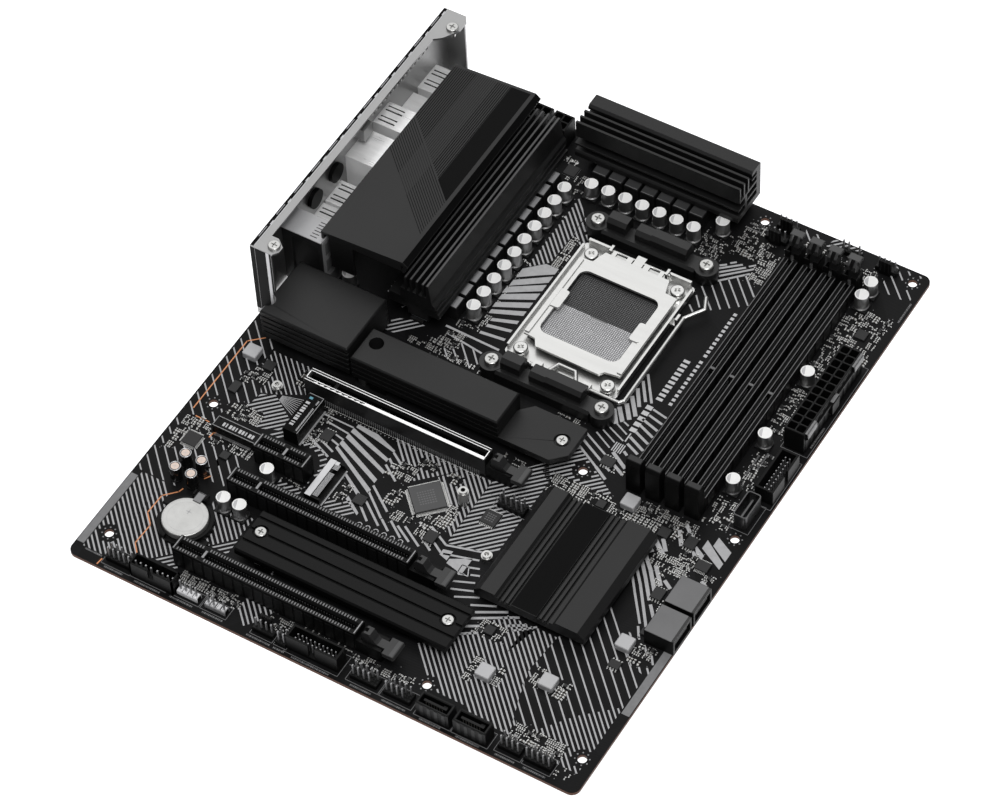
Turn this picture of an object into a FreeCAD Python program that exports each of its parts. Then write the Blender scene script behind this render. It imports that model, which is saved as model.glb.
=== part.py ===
import FreeCAD, Part
import math
import os

# ATX computer motherboard, millimetres.
# Board coordinates used while modelling: X from the rear (connector) edge to the
# front edge, Y from the bottom edge to the top edge, Z up from the component face.
# Every part is shifted at export so that the origin is the centre of the
# rear-bottom mounting hole on the underside of the circuit board.

V = FreeCAD.Vector

# ---------------------------------------------------------------- driving sizes
BOARD_DEPTH = 244.0          # X, rear edge to front edge
BOARD_HEIGHT = 305.0         # Y, bottom edge to top edge
BOARD_THICK = 1.6
BOARD_CORNER_R = 4.0
MOUNT_HOLE_R = 1.98
HOLE_X = (10.16, 165.10, 237.49)
HOLE_Y = (16.51, 140.97, 298.45)
MICRO_ATX_HOLE_Y = 95.25
REAR_TOP_HOLE_X = 33.02      # set in from the rear edge to clear the connectors

SOCKET_X = 131.2
SOCKET_Y = 213.0
COOLER_PITCH_X = 54.0
COOLER_PITCH_Y = 90.0
COOLER_HOLE_R = 3.5
SOCKET_SCREW_DX = 21.4       # half spacing of the frame screws
SOCKET_SCREW_DY = 29.95
SOCKET_SCREW_X = 131.8
SOCKET_SCREW_Y = 212.05
WINDOW = 39.0                # square opening of the load plate
LEVER_Y = 177.3              # lever crossbar
LEVER_Z = 3.4
LEVER_R = 0.95
LEVER_ARM_X = 162.9
PLATE_HINGE_Y = 248.0
PLATE_HINGE_Z = 4.6
PLATE_HINGE_R = 0.8

DIMM_X = (188.7, 198.0, 207.2, 216.5)
DIMM_Y0 = 141.6
DIMM_Y1 = 285.6
DIMM_BODY_H = 8.5
DIMM_TOWER_H = 19.3

PCIE_X0 = 42.5
PCIE_X16_LENGTH = 89.0
PCIE_X1_LENGTH = 25.0
PCIE_H = 11.25
PCIE_Y = (121.5, 61.1, 20.4)
PCIE_X1_Y = 81.4
PCIE_KEY_X = 56.4

SHIELD_X = -2.0              # outer face of the rear plate
SHIELD_THICK = 1.0
SHIELD_Y0 = 148.4
SHIELD_Y1 = 307.0
SHIELD_Z0 = -2.3
SHIELD_Z1 = 42.15

BATTERY_X = 35.4
BATTERY_Y = 36.2
BATTERY_R = 10.0
BATTERY_H = 3.2

ATX_PITCH = 4.2              # pitch of the power connector cavities
PIN_PITCH = 2.54

OFFSET = V(-HOLE_X[0], -HOLE_Y[0], BOARD_THICK)


# ---------------------------------------------------------------- shape helpers
def box(x0, y0, z0, x1, y1, z1):
    """Box between two opposite corners."""
    return Part.makeBox(x1 - x0, y1 - y0, z1 - z0, V(x0, y0, z0))


def block(cx, cy, w, d, z0, z1):
    """Box centred on cx, cy."""
    return box(cx - w / 2, cy - d / 2, z0, cx + w / 2, cy + d / 2, z1)


def rod(x, y, z0, z1, r):
    """Vertical cylinder."""
    return Part.makeCylinder(r, z1 - z0, V(x, y, z0))


def rod_x(x0, x1, y, z, r):
    return Part.makeCylinder(r, x1 - x0, V(x0, y, z), V(1, 0, 0))


def rod_y(y0, y1, x, z, r):
    return Part.makeCylinder(r, y1 - y0, V(x, y0, z), V(0, 1, 0))


def prism_x(points, x0, x1):
    """Outline given as (y, z), extruded along X."""
    ring = [V(x0, y, z) for y, z in points]
    return Part.Face(Part.makePolygon(ring + ring[:1])).extrude(V(x1 - x0, 0, 0))


def prism_y(points, y0, y1):
    """Outline given as (x, z), extruded along Y."""
    ring = [V(x, y0, z) for x, z in points]
    return Part.Face(Part.makePolygon(ring + ring[:1])).extrude(V(0, y1 - y0, 0))


def prism_z(points, z0, z1):
    """Outline given as (x, y), extruded along Z."""
    ring = [V(x, y, z0) for x, y in points]
    return Part.Face(Part.makePolygon(ring + ring[:1])).extrude(V(0, 0, z1 - z0))


def join(shapes):
    """One solid out of touching or overlapping shapes."""
    body = shapes[0]
    if len(shapes) > 1:
        body = body.fuse(list(shapes[1:]))
    return body.removeSplitter()


def round_upright(shape, radius):
    """Round every edge that runs straight along Z."""
    edges = []
    for edge in shape.Edges:
        a, b = edge.Vertexes[0].Point, edge.Vertexes[-1].Point
        if abs(a.x - b.x) < 1e-6 and abs(a.y - b.y) < 1e-6 and abs(a.z - b.z) > 1e-6:
            edges.append(edge)
    return shape.makeFillet(radius, edges)


def rounded_plate(x0, y0, x1, y1, z0, z1, radius):
    return round_upright(box(x0, y0, z0, x1, y1, z1), radius)


def turned(shape, x, y, angle):
    """Copy turned about a vertical axis through x, y."""
    copy = shape.copy()
    copy.rotate(V(x, y, 0), V(0, 0, 1), angle)
    return copy


NODES = {}


def node(name, *shapes):
    """Add solids to a named part."""
    NODES.setdefault(name, []).extend(shapes)


# ---------------------------------------------------------------- circuit board
MOUNT_HOLES = [(x, y) for x in HOLE_X for y in HOLE_Y[:2]]
MOUNT_HOLES += [(x, HOLE_Y[2]) for x in (REAR_TOP_HOLE_X,) + HOLE_X[1:]]
MOUNT_HOLES.append((HOLE_X[0], MICRO_ATX_HOLE_Y))
COOLER_HOLES = [
    (SOCKET_X + sx * COOLER_PITCH_X / 2, SOCKET_Y + 0.5 + sy * COOLER_PITCH_Y / 2)
    for sx in (-1, 1) for sy in (-1, 1)
]
SOCKET_SCREWS = [
    (SOCKET_SCREW_X + sx * SOCKET_SCREW_DX, SOCKET_SCREW_Y + sy * SOCKET_SCREW_DY)
    for sx in (-1, 1) for sy in (-1, 1)
]


def make_pcb():
    board = rounded_plate(0, 0, BOARD_DEPTH, BOARD_HEIGHT, -BOARD_THICK, 0, BOARD_CORNER_R)
    holes = [rod(x, y, -BOARD_THICK - 1, 1, MOUNT_HOLE_R) for x, y in MOUNT_HOLES]
    holes += [rod(x, y, -BOARD_THICK - 1, 1, COOLER_HOLE_R) for x, y in COOLER_HOLES]
    holes += [rod(x, y, -BOARD_THICK - 1, 1, 2.2) for x, y in SOCKET_SCREWS]
    node("pcb", board.cut(holes))


# ---------------------------------------------------------------- processor socket
FRAME_X0 = 103.6
FRAME_X1 = 158.4
FRAME_Y0 = 178.8
FRAME_Y1 = 249.2
HOOK_X = (116.6, 144.4)      # left faces of the two hinge hooks


def make_socket():
    half = WINDOW / 2
    base = rounded_plate(SOCKET_X - 22.3, SOCKET_Y - 22.3, SOCKET_X + 22.3, SOCKET_Y + 22.3,
                         0, 3.2, 1.5)
    pocket = block(SOCKET_X, SOCKET_Y, 41.0, 41.0, 1.4, 4)
    node("socket_housing", base.cut(pocket))
    node("socket_contacts", block(SOCKET_X, SOCKET_Y, 40.4, 40.4, 1.4, 2.3))

    # steel frame: bottom plate round the housing, side rails, hinge hooks, lever curls
    frame = rounded_plate(FRAME_X0, FRAME_Y0, FRAME_X1, FRAME_Y1, 0.6, 1.8, 2.0)
    rails = [box(FRAME_X0, FRAME_Y0 + 3, 0.6, FRAME_X0 + 1.1, FRAME_Y1 - 3, 4.0),
             box(FRAME_X1 - 1.1, FRAME_Y0 + 4, 0.6, FRAME_X1, FRAME_Y1 - 3, 4.0)]
    lips = [box(FRAME_X0 + 2, FRAME_Y1 - 1.2, 0.6, HOOK_X[0] + 0.1, FRAME_Y1, 5.6),
            box(HOOK_X[1] + 1.1, FRAME_Y1 - 1.2, 0.6, FRAME_X1 - 2, FRAME_Y1, 5.6)]
    seats = [rod(x, y, 0.6, 3.6, 3.4) for x, y in SOCKET_SCREWS]
    hooks = [box(x, PLATE_HINGE_Y - 1.7, 0.6, x + 1.2, PLATE_HINGE_Y + 1.7, 6.5) for x in HOOK_X]
    curls = [box(x, LEVER_Y - 1.7, 0.6, x + 4.0, FRAME_Y0 + 0.6, 5.1) for x in (119.4, 143.2)]
    catch = join([box(FRAME_X1 - 0.1, 226.6, 0.6, FRAME_X1 + 3.1, 230.2, 1.8),
                  box(FRAME_X1 + 2.0, 226.6, 0.6, FRAME_X1 + 3.1, 230.2, 6.0)])
    cuts = [block(SOCKET_X, SOCKET_Y, 45.4, 45.4, 0, 4),
            box(SOCKET_X - 3, 245.4, 0, SOCKET_X + 3, 253, 4),
            box(119.0, 244.4, 0, 126.4, 247.0, 4), box(136.0, 244.4, 0, 143.4, 247.0, 4)]
    cuts += [rod(x, y, 0, 5, 1.9) for x, y in SOCKET_SCREWS]
    cuts.append(rod_x(110, 156, LEVER_Y, LEVER_Z, LEVER_R + 0.3))
    cuts.append(rod_x(115.8, 146.4, PLATE_HINGE_Y, PLATE_HINGE_Z, PLATE_HINGE_R + 0.25))
    frame = join([frame, catch] + rails + lips + seats + hooks + curls)
    node("socket_frame", frame.cut(cuts))

    # Torx screws through the frame into the back plate
    for x, y in SOCKET_SCREWS:
        head = rod(x, y, 3.6, 5.4, 3.2)
        head = head.makeFillet(0.7, [head.Edges[0]])
        star = [rod(x, y, 4.4, 6, 0.85)]
        for step in range(3):
            star.append(turned(block(x, y, 2.9, 0.75, 4.4, 6), x, y, 60 * step))
        node("socket_screws", head.cut(star).fuse(rod(x, y, -2.4, 3.6, 1.6)).removeSplitter())

    # steel back plate with threaded posts under the board
    plate = rounded_plate(SOCKET_X - 33, SOCKET_Y - 49.5, SOCKET_X + 33, SOCKET_Y + 50.5,
                          -BOARD_THICK - 2.0, -BOARD_THICK, 6)
    relief = rounded_plate(SOCKET_X - 15, SOCKET_Y - 15, SOCKET_X + 15, SOCKET_Y + 15,
                           -BOARD_THICK - 3, 0, 4)
    posts = [rod(x, y, -BOARD_THICK - 1, 1.2, COOLER_HOLE_R - 0.3) for x, y in COOLER_HOLES]
    bores = [rod(x, y, -6, 3, 1.75) for x, y in COOLER_HOLES + SOCKET_SCREWS]
    plate = join([plate] + posts).cut([relief] + bores)
    node("socket_backplate", plate)


def make_load_plate():
    """Hinged steel plate that presses the processor down."""
    z0, z1 = 4.3, 5.5
    outline = [
        (107.4, 189.6), (113.4, 189.0), (115.6, 185.4), (147.0, 185.0), (148.6, 187.4),
        (155.7, 188.4), (155.7, 237.4), (149.6, 237.8), (148.8, 240.2), (147.6, 244.8),
        (115.8, 245.2), (114.2, 241.0), (113.4, 238.0), (107.4, 237.8)]
    plate = prism_z(outline, z0, z1)
    window = rounded_plate(SOCKET_X - WINDOW / 2, SOCKET_Y - WINDOW / 2,
                           SOCKET_X + WINDOW / 2, SOCKET_Y + WINDOW / 2, z0 - 1, z1 + 1, 4)
    rims = [box(107.4, 190.4, z1 - 0.1, 109.6, 237.0, z1 + 0.6),
            box(153.5, 189.4, z1 - 0.1, 155.7, 236.6, z1 + 0.6)]
    tongues = [rounded_plate(SOCKET_X - WINDOW / 2 - 3, SOCKET_Y - 5.2,
                             SOCKET_X - WINDOW / 2 + 2.2, SOCKET_Y + 5.2, z0, z1 + 0.5, 1.2),
               rounded_plate(SOCKET_X + WINDOW / 2 - 2.2, SOCKET_Y - 5.2,
                             SOCKET_X + WINDOW / 2 + 3, SOCKET_Y + 5.2, z0, z1 + 0.5, 1.2)]
    ears = [box(x0, 243.6, z0, x1, PLATE_HINGE_Y, z1)
            for x0, x1 in ((118.4, 120.4), (125.6, 128.4), (134.0, 136.8), (141.8, 143.8))]
    ears.append(box(SOCKET_X - 2.2, 243.6, z0, SOCKET_X + 2.2, PLATE_HINGE_Y + 2.6, z1))
    bar = rod_x(HOOK_X[0] - 0.5, HOOK_X[1] + 1.7, PLATE_HINGE_Y, PLATE_HINGE_Z, PLATE_HINGE_R)
    body = join([plate.cut(window)] + rims + tongues + ears + [bar])
    node("socket_load_plate", body)


def make_lever():
    """Bent wire lever: crossbar with a cam, and a side arm with a turned-out end."""
    r = LEVER_R
    cam_x0, cam_x1 = 126.4, 140.4
    cam_y = LEVER_Y + 5.6
    path = [
        (117.6, LEVER_Y, LEVER_Z), (cam_x0, LEVER_Y, LEVER_Z),
        (cam_x0 + 2.4, cam_y, LEVER_Z), (cam_x1 - 3.4, cam_y, LEVER_Z),
        (cam_x1, LEVER_Y, LEVER_Z), (LEVER_ARM_X - 1.6, LEVER_Y, LEVER_Z),
        (LEVER_ARM_X, LEVER_Y + 2.0, LEVER_Z),
        (LEVER_ARM_X, 230.4, LEVER_Z + 0.8), (LEVER_ARM_X + 5.9, 238.2, LEVER_Z + 1.8),
        (LEVER_ARM_X + 3.6, 243.4, LEVER_Z + 2.8)]
    pieces = []
    for start, end in zip(path, path[1:]):
        a, b = V(*start), V(*end)
        pieces.append(Part.makeCylinder(r, (b - a).Length, a, b - a))
    for point in path[1:-1]:
        pieces.append(Part.makeSphere(r, V(*point)))
    pieces.append(Part.makeSphere(r, V(*path[-1])))
    node("socket_lever", join(pieces))


def make_cooler_brackets():
    """Two plastic brackets with raised lugs, each on two screws into the back plate."""
    for row in (168.5, 258.5):
        body = [rod(x, row, 0, 6.6, 5.4) for x in (SOCKET_X - 27, SOCKET_X + 27)]
        body.append(prism_x([(row - 4.6, 0), (row + 5.0, 0), (row + 5.0, 5.0), (row + 3.6, 6.4),
                             (row - 3.4, 6.4), (row - 4.6, 5.2)], SOCKET_X - 23, SOCKET_X + 23))
        body.append(box(SOCKET_X - 27, row - 3.6, 0, SOCKET_X + 27, row + 3.6, 5.2))
        for x0, x1 in ((109.4, 118.8), (123.4, 131.0), (131.0, 148.8)):
            rise = 11.4 if x1 == 131.0 else 12.0
            body.append(prism_x([(row - 1.6, 6.2), (row + 4.9, 5.0), (row + 5.4, 6.4),
                                 (row + 5.4, rise - 1.0), (row + 4.4, rise),
                                 (row + 0.2, rise), (row - 1.6, rise - 1.6)], x0, x1))
        shape = join(body)
        holes = []
        for x in (SOCKET_X - 27, SOCKET_X + 27):
            holes.append(rod(x, row, -1, 1.5, COOLER_HOLE_R + 0.1))
            holes.append(rod(x, row, 1.4, 8, 1.75))
            holes.append(rod(x, row, 6.6, 12, 3.7))
        node("cooler_brackets", shape.cut(holes))
        for x in (SOCKET_X - 27, SOCKET_X + 27):
            head = rod(x, row, 6.6, 8.6, 3.3)
            head = head.makeFillet(0.8, [head.Edges[0]])
            cross = [block(x, row, 3.4, 0.8, 7.6, 9), block(x, row, 0.8, 3.4, 7.6, 9)]
            screw = head.cut(cross).fuse(rod(x, row, -3.0, 6.6, 1.5)).removeSplitter()
            node("cooler_bracket_screws", screw)


# ---------------------------------------------------------------- power stage cooling
def make_rear_heatsink():
    y0, y1 = 172.8, 283.4
    # under the cover the lower end is cut back, so the heat sink is narrower there
    inner_x, inner_y = 50.0, 192.0
    base = [(inner_x, 10.6), (75.0, 10.6), (75.0, 13.6), (74.2, 13.6), (74.2, 16.4),
            (inner_x, 16.4)]
    wing = [(34.0, 10.6), (inner_x + 0.1, 10.6), (inner_x + 0.1, 16.4), (34.0, 16.4)]
    foot = [(57.0, 2.2), (67.6, 2.2), (67.6, 10.7), (57.0, 10.7)]
    block_profile = [(57.0, 16.3), (73.9, 16.3), (73.9, 19.0), (72.6, 20.2), (72.2, 21.6),
                     (71.3, 31.3), (70.0, 31.3), (69.8, 23.4), (57.0, 23.4)]
    pieces = [prism_y(base, y0 + 1.0, y1 - 1.0), prism_y(wing, inner_y, y1 - 1.0),
              prism_y(foot, y0 + 4.0, y1 - 4.0),
              prism_y(block_profile, y0, y1)]
    for x in (59.2, 61.9, 64.9, 67.9):
        pieces.append(box(x, y0, 23.3, x + 1.1, y1, 31.3))
    for step in range(6):
        x = 35.0 + 3.6 * step
        pieces.append(box(x, inner_y, 16.3, x + 1.2, y1 - 1.0, 34.6))
    node("vrm_heatsink_rear", join(pieces))


def make_io_cover():
    """Sheet cover over the rear heat sink and the rear connectors."""
    y0, y1 = 172.6, 283.4
    top = prism_y([(18.1, 36.6), (18.1, 38.0), (59.2, 40.7), (61.6, 38.6), (59.6, 33.8),
                   (58.2, 34.2), (59.3, 38.0), (58.5, 39.0)], y0, y1)
    lip = prism_y([(18.1, 33.6), (19.3, 33.6), (19.3, 37.2), (18.1, 37.2)], y0, y1)
    near = prism_y([(22.0, 17.2), (33.8, 17.2), (33.8, 37.8), (22.0, 36.9)], y0, y0 + 1.2)
    near_b = prism_y([(33.8, 34.8), (58.4, 34.8), (58.4, 39.0), (33.8, 37.8)], y0, y0 + 1.2)
    far = prism_y([(22.0, 17.2), (33.8, 17.2), (33.8, 37.8), (22.0, 36.9)], y1 - 1.2, y1)
    far_b = prism_y([(33.8, 34.8), (58.4, 34.8), (58.4, 39.0), (33.8, 37.8)], y1 - 1.2, y1)
    tabs = [box(31.0, y0 + 30, 16.4, 34.0, y0 + 40, 17.6), box(31.0, y0 + 30, 16.4, 32.2, y0 + 40, 37.9),
            box(31.0, y1 - 40, 16.4, 34.0, y1 - 30, 17.6), box(31.0, y1 - 40, 16.4, 32.2, y1 - 30, 37.9)]
    node("rear_io_cover", join([top, lip, near, near_b, far, far_b] + tabs))


def make_top_heatsink():
    x0, x1 = 77.0, 159.0
    wall = box(x0, 301.4, 8.8, x1, 305.1, 27.2)
    bar = prism_x([(305.1, 27.0), (305.1, 28.9), (304.5, 29.5), (298.4, 29.5), (297.2, 28.4),
                   (297.2, 27.0)], x0, x1)
    base = prism_x([(284.8, 8.8), (305.1, 8.8), (305.1, 12.4), (285.6, 12.4), (284.8, 11.4)],
                   x0, x1)
    foot = box(x0 + 3.0, 289.8, 2.2, x1 - 3.0, 304.6, 8.9)
    low_fin = box(x0, 285.3, 15.4, x1, 301.5, 16.6)
    shelf = box(x0, 286.4, 19.8, x1, 301.5, 21.3)
    short_fin = box(x0, 297.4, 23.9, x1, 301.5, 24.9)
    web = box(x0, 291.0, 12.3, x1, 293.0, 19.9)
    uprights = [box(x0, y, 21.2, x1, y + 1.2, 29.2) for y in (286.4, 290.0, 293.6)]
    node("vrm_heatsink_top",
         join([wall, bar, base, foot, low_fin, shelf, short_fin, web] + uprights))


def make_power_stages():
    """Switching chips, thermal pads and chokes of the two supply rows."""
    for step in range(11):
        y = 178.6 + 8.28 * step
        node("ic_packages", block(61.6, y, 6.0, 5.0, 0, 0.9))
    for step in range(7):
        x = 91.5 + 8.12 * step
        node("ic_packages", block(x, 297.0, 5.0, 6.0, 0, 0.9))
    node("thermal_pads", box(58.2, 177.5, 0.9, 66.0, 264.6, 2.2))
    node("thermal_pads", box(86.0, 293.6, 0.9, 144.0, 300.4, 2.2))
    for step in range(11):
        node("power_chokes", choke(73.3, 188.2 + 8.16 * step))
    for step in range(7):
        node("power_chokes", choke(91.4 + 8.12 * step, 284.4))


def choke(x, y):
    core = block(x, y, 7.3, 7.3, 0, 7.9)
    top = [e for e in core.Edges if all(v.Point.z > 7.8 for v in e.Vertexes)]
    return core.makeChamfer(0.35, top)


POLYMER_CAPS = (
    [(82.3, 190.0 + 8.53 * step) for step in range(10)]
    + [(91.6 + 8.55 * step, 274.3) for step in range(7)]
    + [(152.3, 283.5), (224.4, 284.3), (224.4, 276.1), (224.3, 227.8), (224.6, 190.0),
       (224.6, 162.6), (45.3, 50.6), (53.3, 50.6), (53.0, 72.0), (26.0, 179.0)])
AUDIO_CAPS = [(x, y) for x in (19.0, 27.0) for y in (54.0, 62.0)]


def can_capacitor(x, y, r, h):
    """Rolled can on a square foot with two clipped corners."""
    w = r + 0.35
    foot = prism_z([(x - w, y - w), (x + w - 1.4, y - w), (x + w, y - w + 1.4),
                    (x + w, y + w - 1.4), (x + w - 1.4, y + w), (x - w, y + w)], 0, 1.0)
    neck = rod(x, y, 1.0, 1.9, r - 0.45)
    can = rod(x, y, 1.9, h, r)
    rims = [e for e in can.Edges if len(e.Vertexes) == 1]
    can = can.makeFillet(0.35, rims)
    return join([foot, neck, can])


def make_capacitors():
    for x, y in POLYMER_CAPS:
        node("polymer_capacitors", can_capacitor(x, y, 3.15, 8.6))
    for x, y in AUDIO_CAPS:
        node("audio_capacitors", can_capacitor(x, y, 2.65, 9.0))


# ---------------------------------------------------------------- chipset and M.2 covers
def make_chipset():
    x0, x1, y0, y1 = 159.5, 211.5, 62.5, 122.5
    pts = [(x0, 3.2), (x1, 3.2), (x1, 6.6), (x1 - 3.2, 9.2), (x1 - 13.4, 9.2), (x1 - 14.8, 7.6)]
    for x in (194.9, 192.6, 190.3):
        pts += [(x, 7.6), (x, 6.2), (x - 1.1, 6.2), (x - 1.1, 7.6)]
    for x in (177.0, 174.7, 172.4):
        pts += [(x, 7.6), (x, 6.2), (x - 1.1, 6.2), (x - 1.1, 7.6)]
    pts += [(x0 + 11.0, 8.0), (x0 + 10.0, 9.2), (x0 + 3.2, 9.2), (x0, 6.6)]
    body = prism_y(pts, y0, y1)
    pads = [box(167.0, 71.0, 2.6, 189.0, 93.0, 3.3), box(179.0, 97.0, 2.6, 201.0, 119.0, 3.3)]
    posts = [rod(x, y, 0, 3.3, 2.4) for x, y in ((163.5, 118.0), (207.5, 67.0))]
    node("chipset_heatsink", join([body] + pads + posts))
    for x0, y0 in ((168.0, 72.0), (180.0, 98.0)):
        carrier = box(x0, y0, 0, x0 + 20, y0 + 20, 1.1)
        die = box(x0 + 5.5, y0 + 5.5, 1.0, x0 + 14.5, y0 + 14.5, 1.9)
        node("ic_packages", join([carrier, die]))
        node("thermal_pads", box(x0 + 5.0, y0 + 5.0, 1.9, x0 + 15.0, y0 + 15.0, 2.6))


M2_SCREWS = [(152.5, 145.5), (68.5, 43.4), (159.0, 43.4)]
M2_COVER_POSTS = [(20.0, 158.0), (47.0, 158.0), (59.4, 137.2)]


def make_m2_covers():
    low = 4.6
    body = box(10.3, 134.0, low, 54.3, 166.0, 21.0)
    cuts = []
    for step in range(4):
        z = 7.6 + 3.2 * step
        cuts.append(box(9, 133, z, 56, 135.2, z + 1.1))
        cuts.append(box(9, 164.8, z, 56, 167, z + 1.1))
    cuts.append(rod(HOLE_X[0], HOLE_Y[1], 0, 22, 3.4))
    rim = [e for e in body.Edges if all(v.Point.z > 20.9 for v in e.Vertexes)]
    node("m2_heatsink_rear", body.makeChamfer(0.6, rim).cut(cuts))

    bar = box(55.6, 134.0, low, 128.0, 152.5, 17.0)
    rim = [e for e in bar.Edges if all(v.Point.z > 16.9 for v in e.Vertexes)]
    cuts = [rod(61.5, 145.7, 9.0, 18, 3.3)]
    for step in range(3):
        z = 7.0 + 3.0 * step
        cuts.append(box(55, 133, z, 129, 135.2, z + 1.1))
    node("m2_heatsink_upper", bar.makeChamfer(0.6, rim).cut(cuts))

    end = prism_z([(128.0, 133.7), (153.0, 133.7), (159.0, 139.7), (159.0, 155.7),
                   (133.5, 155.7), (128.0, 150.2)], low, 8.0)
    seat = rod(152.5, 145.5, 6.6, 9, 3.4)
    hole = rod(152.5, 145.5, 0, 9, 1.6)
    node("m2_end_plate", end.cut([seat, hole]))

    x0, x1, y0, y1 = 63.5, 165.5, 30.7, 53.7
    pts = [(y0, low), (y1, low), (y1, 7.2), (y1 - 0.8, 8.0)]
    for y in (49.0, 42.6, 36.2):
        pts += [(y + 1.2, 8.0), (y + 1.2, 6.9), (y, 6.9), (y, 8.0)]
    pts += [(y0 + 0.8, 8.0), (y0, 7.2)]
    lower = prism_x(pts, x0, x1)
    cuts = []
    for x, y in M2_SCREWS[1:]:
        cuts += [rod(x, y, 6.6, 9, 3.4), rod(x, y, 0, 9, 1.6)]
    node("m2_heatsink_lower", lower.cut(cuts))

    for x, y in M2_SCREWS:
        head = rod(x, y, 6.6, 8.2, 2.6)
        head = head.makeFillet(0.5, [head.Edges[0]])
        cross = [block(x, y, 2.8, 0.6, 7.4, 9), block(x, y, 0.6, 2.8, 7.4, 9)]
        node("cover_screws", head.cut(cross).fuse(rod(x, y, 2.0, 6.6, 1.3)).removeSplitter())
    for x, y in M2_SCREWS:
        node("m2_standoffs", rod(x, y, 0, low, 2.8).cut(rod(x, y, 1.8, 6, 1.55)))
    for x, y in M2_COVER_POSTS:
        node("m2_standoffs", rod(x, y, 0, low, 2.4))
    for x, y, h in ((29.5, 115.5, 3.0), (153.5, 82.5, 3.0), (130.4, 102.2, 9.0)):
        post = join([rod(x, y, 0, h - 1.0, 2.4), rod(x, y, h - 1.0, h, 1.9)])
        node("m2_standoffs", post.cut(rod(x, y, 0.8, h + 1, 1.0)))
    node("thermal_pads", box(66.0, 136.0, 3.4, 126.0, 151.0, low))
    node("thermal_pads", box(84.0, 33.0, 3.4, 152.0, 52.0, low))


def m2_socket(x0, y0, x1, y1, h, lip):
    """Low card-edge socket that opens toward +X or, for an upright one, upward."""
    body = box(x0, y0, 0, x1, y1, h)
    slot = box(x0 + lip, y0 + 1.2, h * 0.45, x1 + 1, y1 - 1.2, h * 0.45 + 1.0)
    top = box(x0 + lip + 1.0, y0 + 1.2, h * 0.45, x1 + 1, y1 - 1.2, h + 1)
    return body.cut([slot, top])


def make_m2_sockets():
    node("m2_sockets", m2_socket(64.0, 134.4, 71.8, 156.0, 3.2, 3.0))
    node("m2_sockets", m2_socket(72.6, 31.2, 80.4, 53.0, 3.2, 3.0))
    node("m2_sockets", m2_socket(71.5, 71.0, 79.0, 92.5, 4.2, 3.4))
    tall = box(46.8, 93.6, 0, 54.0, 115.0, 8.2)
    node("m2_sockets", tall.cut([box(50.6, 95.0, 5.2, 55, 113.6, 6.4),
                                 box(52.6, 95.0, 5.2, 55, 113.6, 9)]))
    wifi = box(18.0, 82.6, 0, 39.6, 88.4, 4.2)
    node("m2_sockets", wifi.cut([box(19.3, 86.2, 1.8, 38.3, 90, 2.9),
                                 box(19.3, 87.4, 1.8, 38.3, 90, 5)]))


# ---------------------------------------------------------------- memory slots
def make_dimm_slots():
    y_low = DIMM_Y0 + 5.2
    y_high = DIMM_Y1 - 6.6
    for index, x in enumerate(DIMM_X):
        body = box(x - 3.2, y_low - 0.2, 0, x + 3.2, y_high + 0.2, DIMM_BODY_H)
        groove_a = box(x - 0.85, y_low + 1.2, 2.2, x + 0.85, 208.6, 9)
        groove_b = box(x - 0.85, 210.4, 2.2, x + 0.85, y_high - 0.4, 9)
        chamfer = prism_y([(x - 1.9, 8.6), (x + 1.9, 8.6), (x, 6.6)], y_low + 1.2, y_high - 0.4)
        low_tower = prism_x([(DIMM_Y0, 0), (y_low, 0), (y_low, 16.6), (y_low - 1.4, DIMM_TOWER_H),
                             (DIMM_Y0 + 1.0, DIMM_TOWER_H), (DIMM_Y0, 17.6)], x - 3.4, x + 3.4)
        card_way = box(x - 0.85, y_low - 3.6, 2.2, x + 0.85, y_low + 2, 21)
        high_tower = box(x - 3.4, y_high, 0, x + 3.4, DIMM_Y1, 12.4)
        latch_way = box(x - 2.5, y_high + 0.6, 3.0, x + 2.5, DIMM_Y1 + 1, 20)
        open_side = box(x - 0.85, y_high - 1, 2.2, x + 0.85, y_high + 1, 20)
        shape = join([body, low_tower, high_tower])
        shape = shape.cut([groove_a, groove_b, chamfer, card_way, latch_way, open_side])
        node("dimm_slot_%d" % (index + 1), shape)

        arm = prism_x([(281.4, 3.6), (285.0, 3.6), (285.4, 5.2), (285.4, 16.6), (286.4, 18.4),
                       (286.4, 19.6), (282.6, 19.6), (280.4, 17.6), (280.4, 14.6),
                       (282.4, 13.6), (282.4, 6.4), (280.2, 5.4)], x - 2.2, x + 2.2)
        key_slot = box(x - 0.85, 279, 12.8, x + 0.85, 282.9, 21)
        pad = box(x - 3.0, 282.6, 17.6, x + 3.0, 286.4, 19.6)
        node("dimm_latch_%d" % (index + 1), join([arm, pad]).cut(key_slot))


# ---------------------------------------------------------------- expansion slots
def slot_body(x0, length, y, width, latched):
    body = box(x0, y - width / 2, 0, x0 + length, y + width / 2, PCIE_H)
    groove_a = box(x0 + 1.6, y - 0.9, 3.0, PCIE_KEY_X - 0.9, y + 0.9, 12)
    groove_b = box(PCIE_KEY_X + 0.9, y - 0.9, 3.0, x0 + length - 1.6, y + 0.9, 12)
    cuts = [groove_a, groove_b]
    chamfer = prism_x([(y - 1.9, 11.3), (y + 1.9, 11.3), (y, 9.3)], x0 + 1.6, x0 + length - 1.6)
    keep = box(PCIE_KEY_X - 0.9, y - 3, 0, PCIE_KEY_X + 0.9, y + 3, 12)
    cuts.append(chamfer.cut(keep))
    shape = body
    if latched:
        # fork at the front end that carries the card latch
        end = x0 + length
        fork = box(end - 0.1, y - width / 2, 0, end + 12.0, y + width / 2, 7.4)
        way = box(end + 1.6, y - 2.3, 2.2, end + 14, y + 2.3, 9)
        shape = join([body, fork.cut(way)])
    return shape.cut(cuts)


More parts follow.
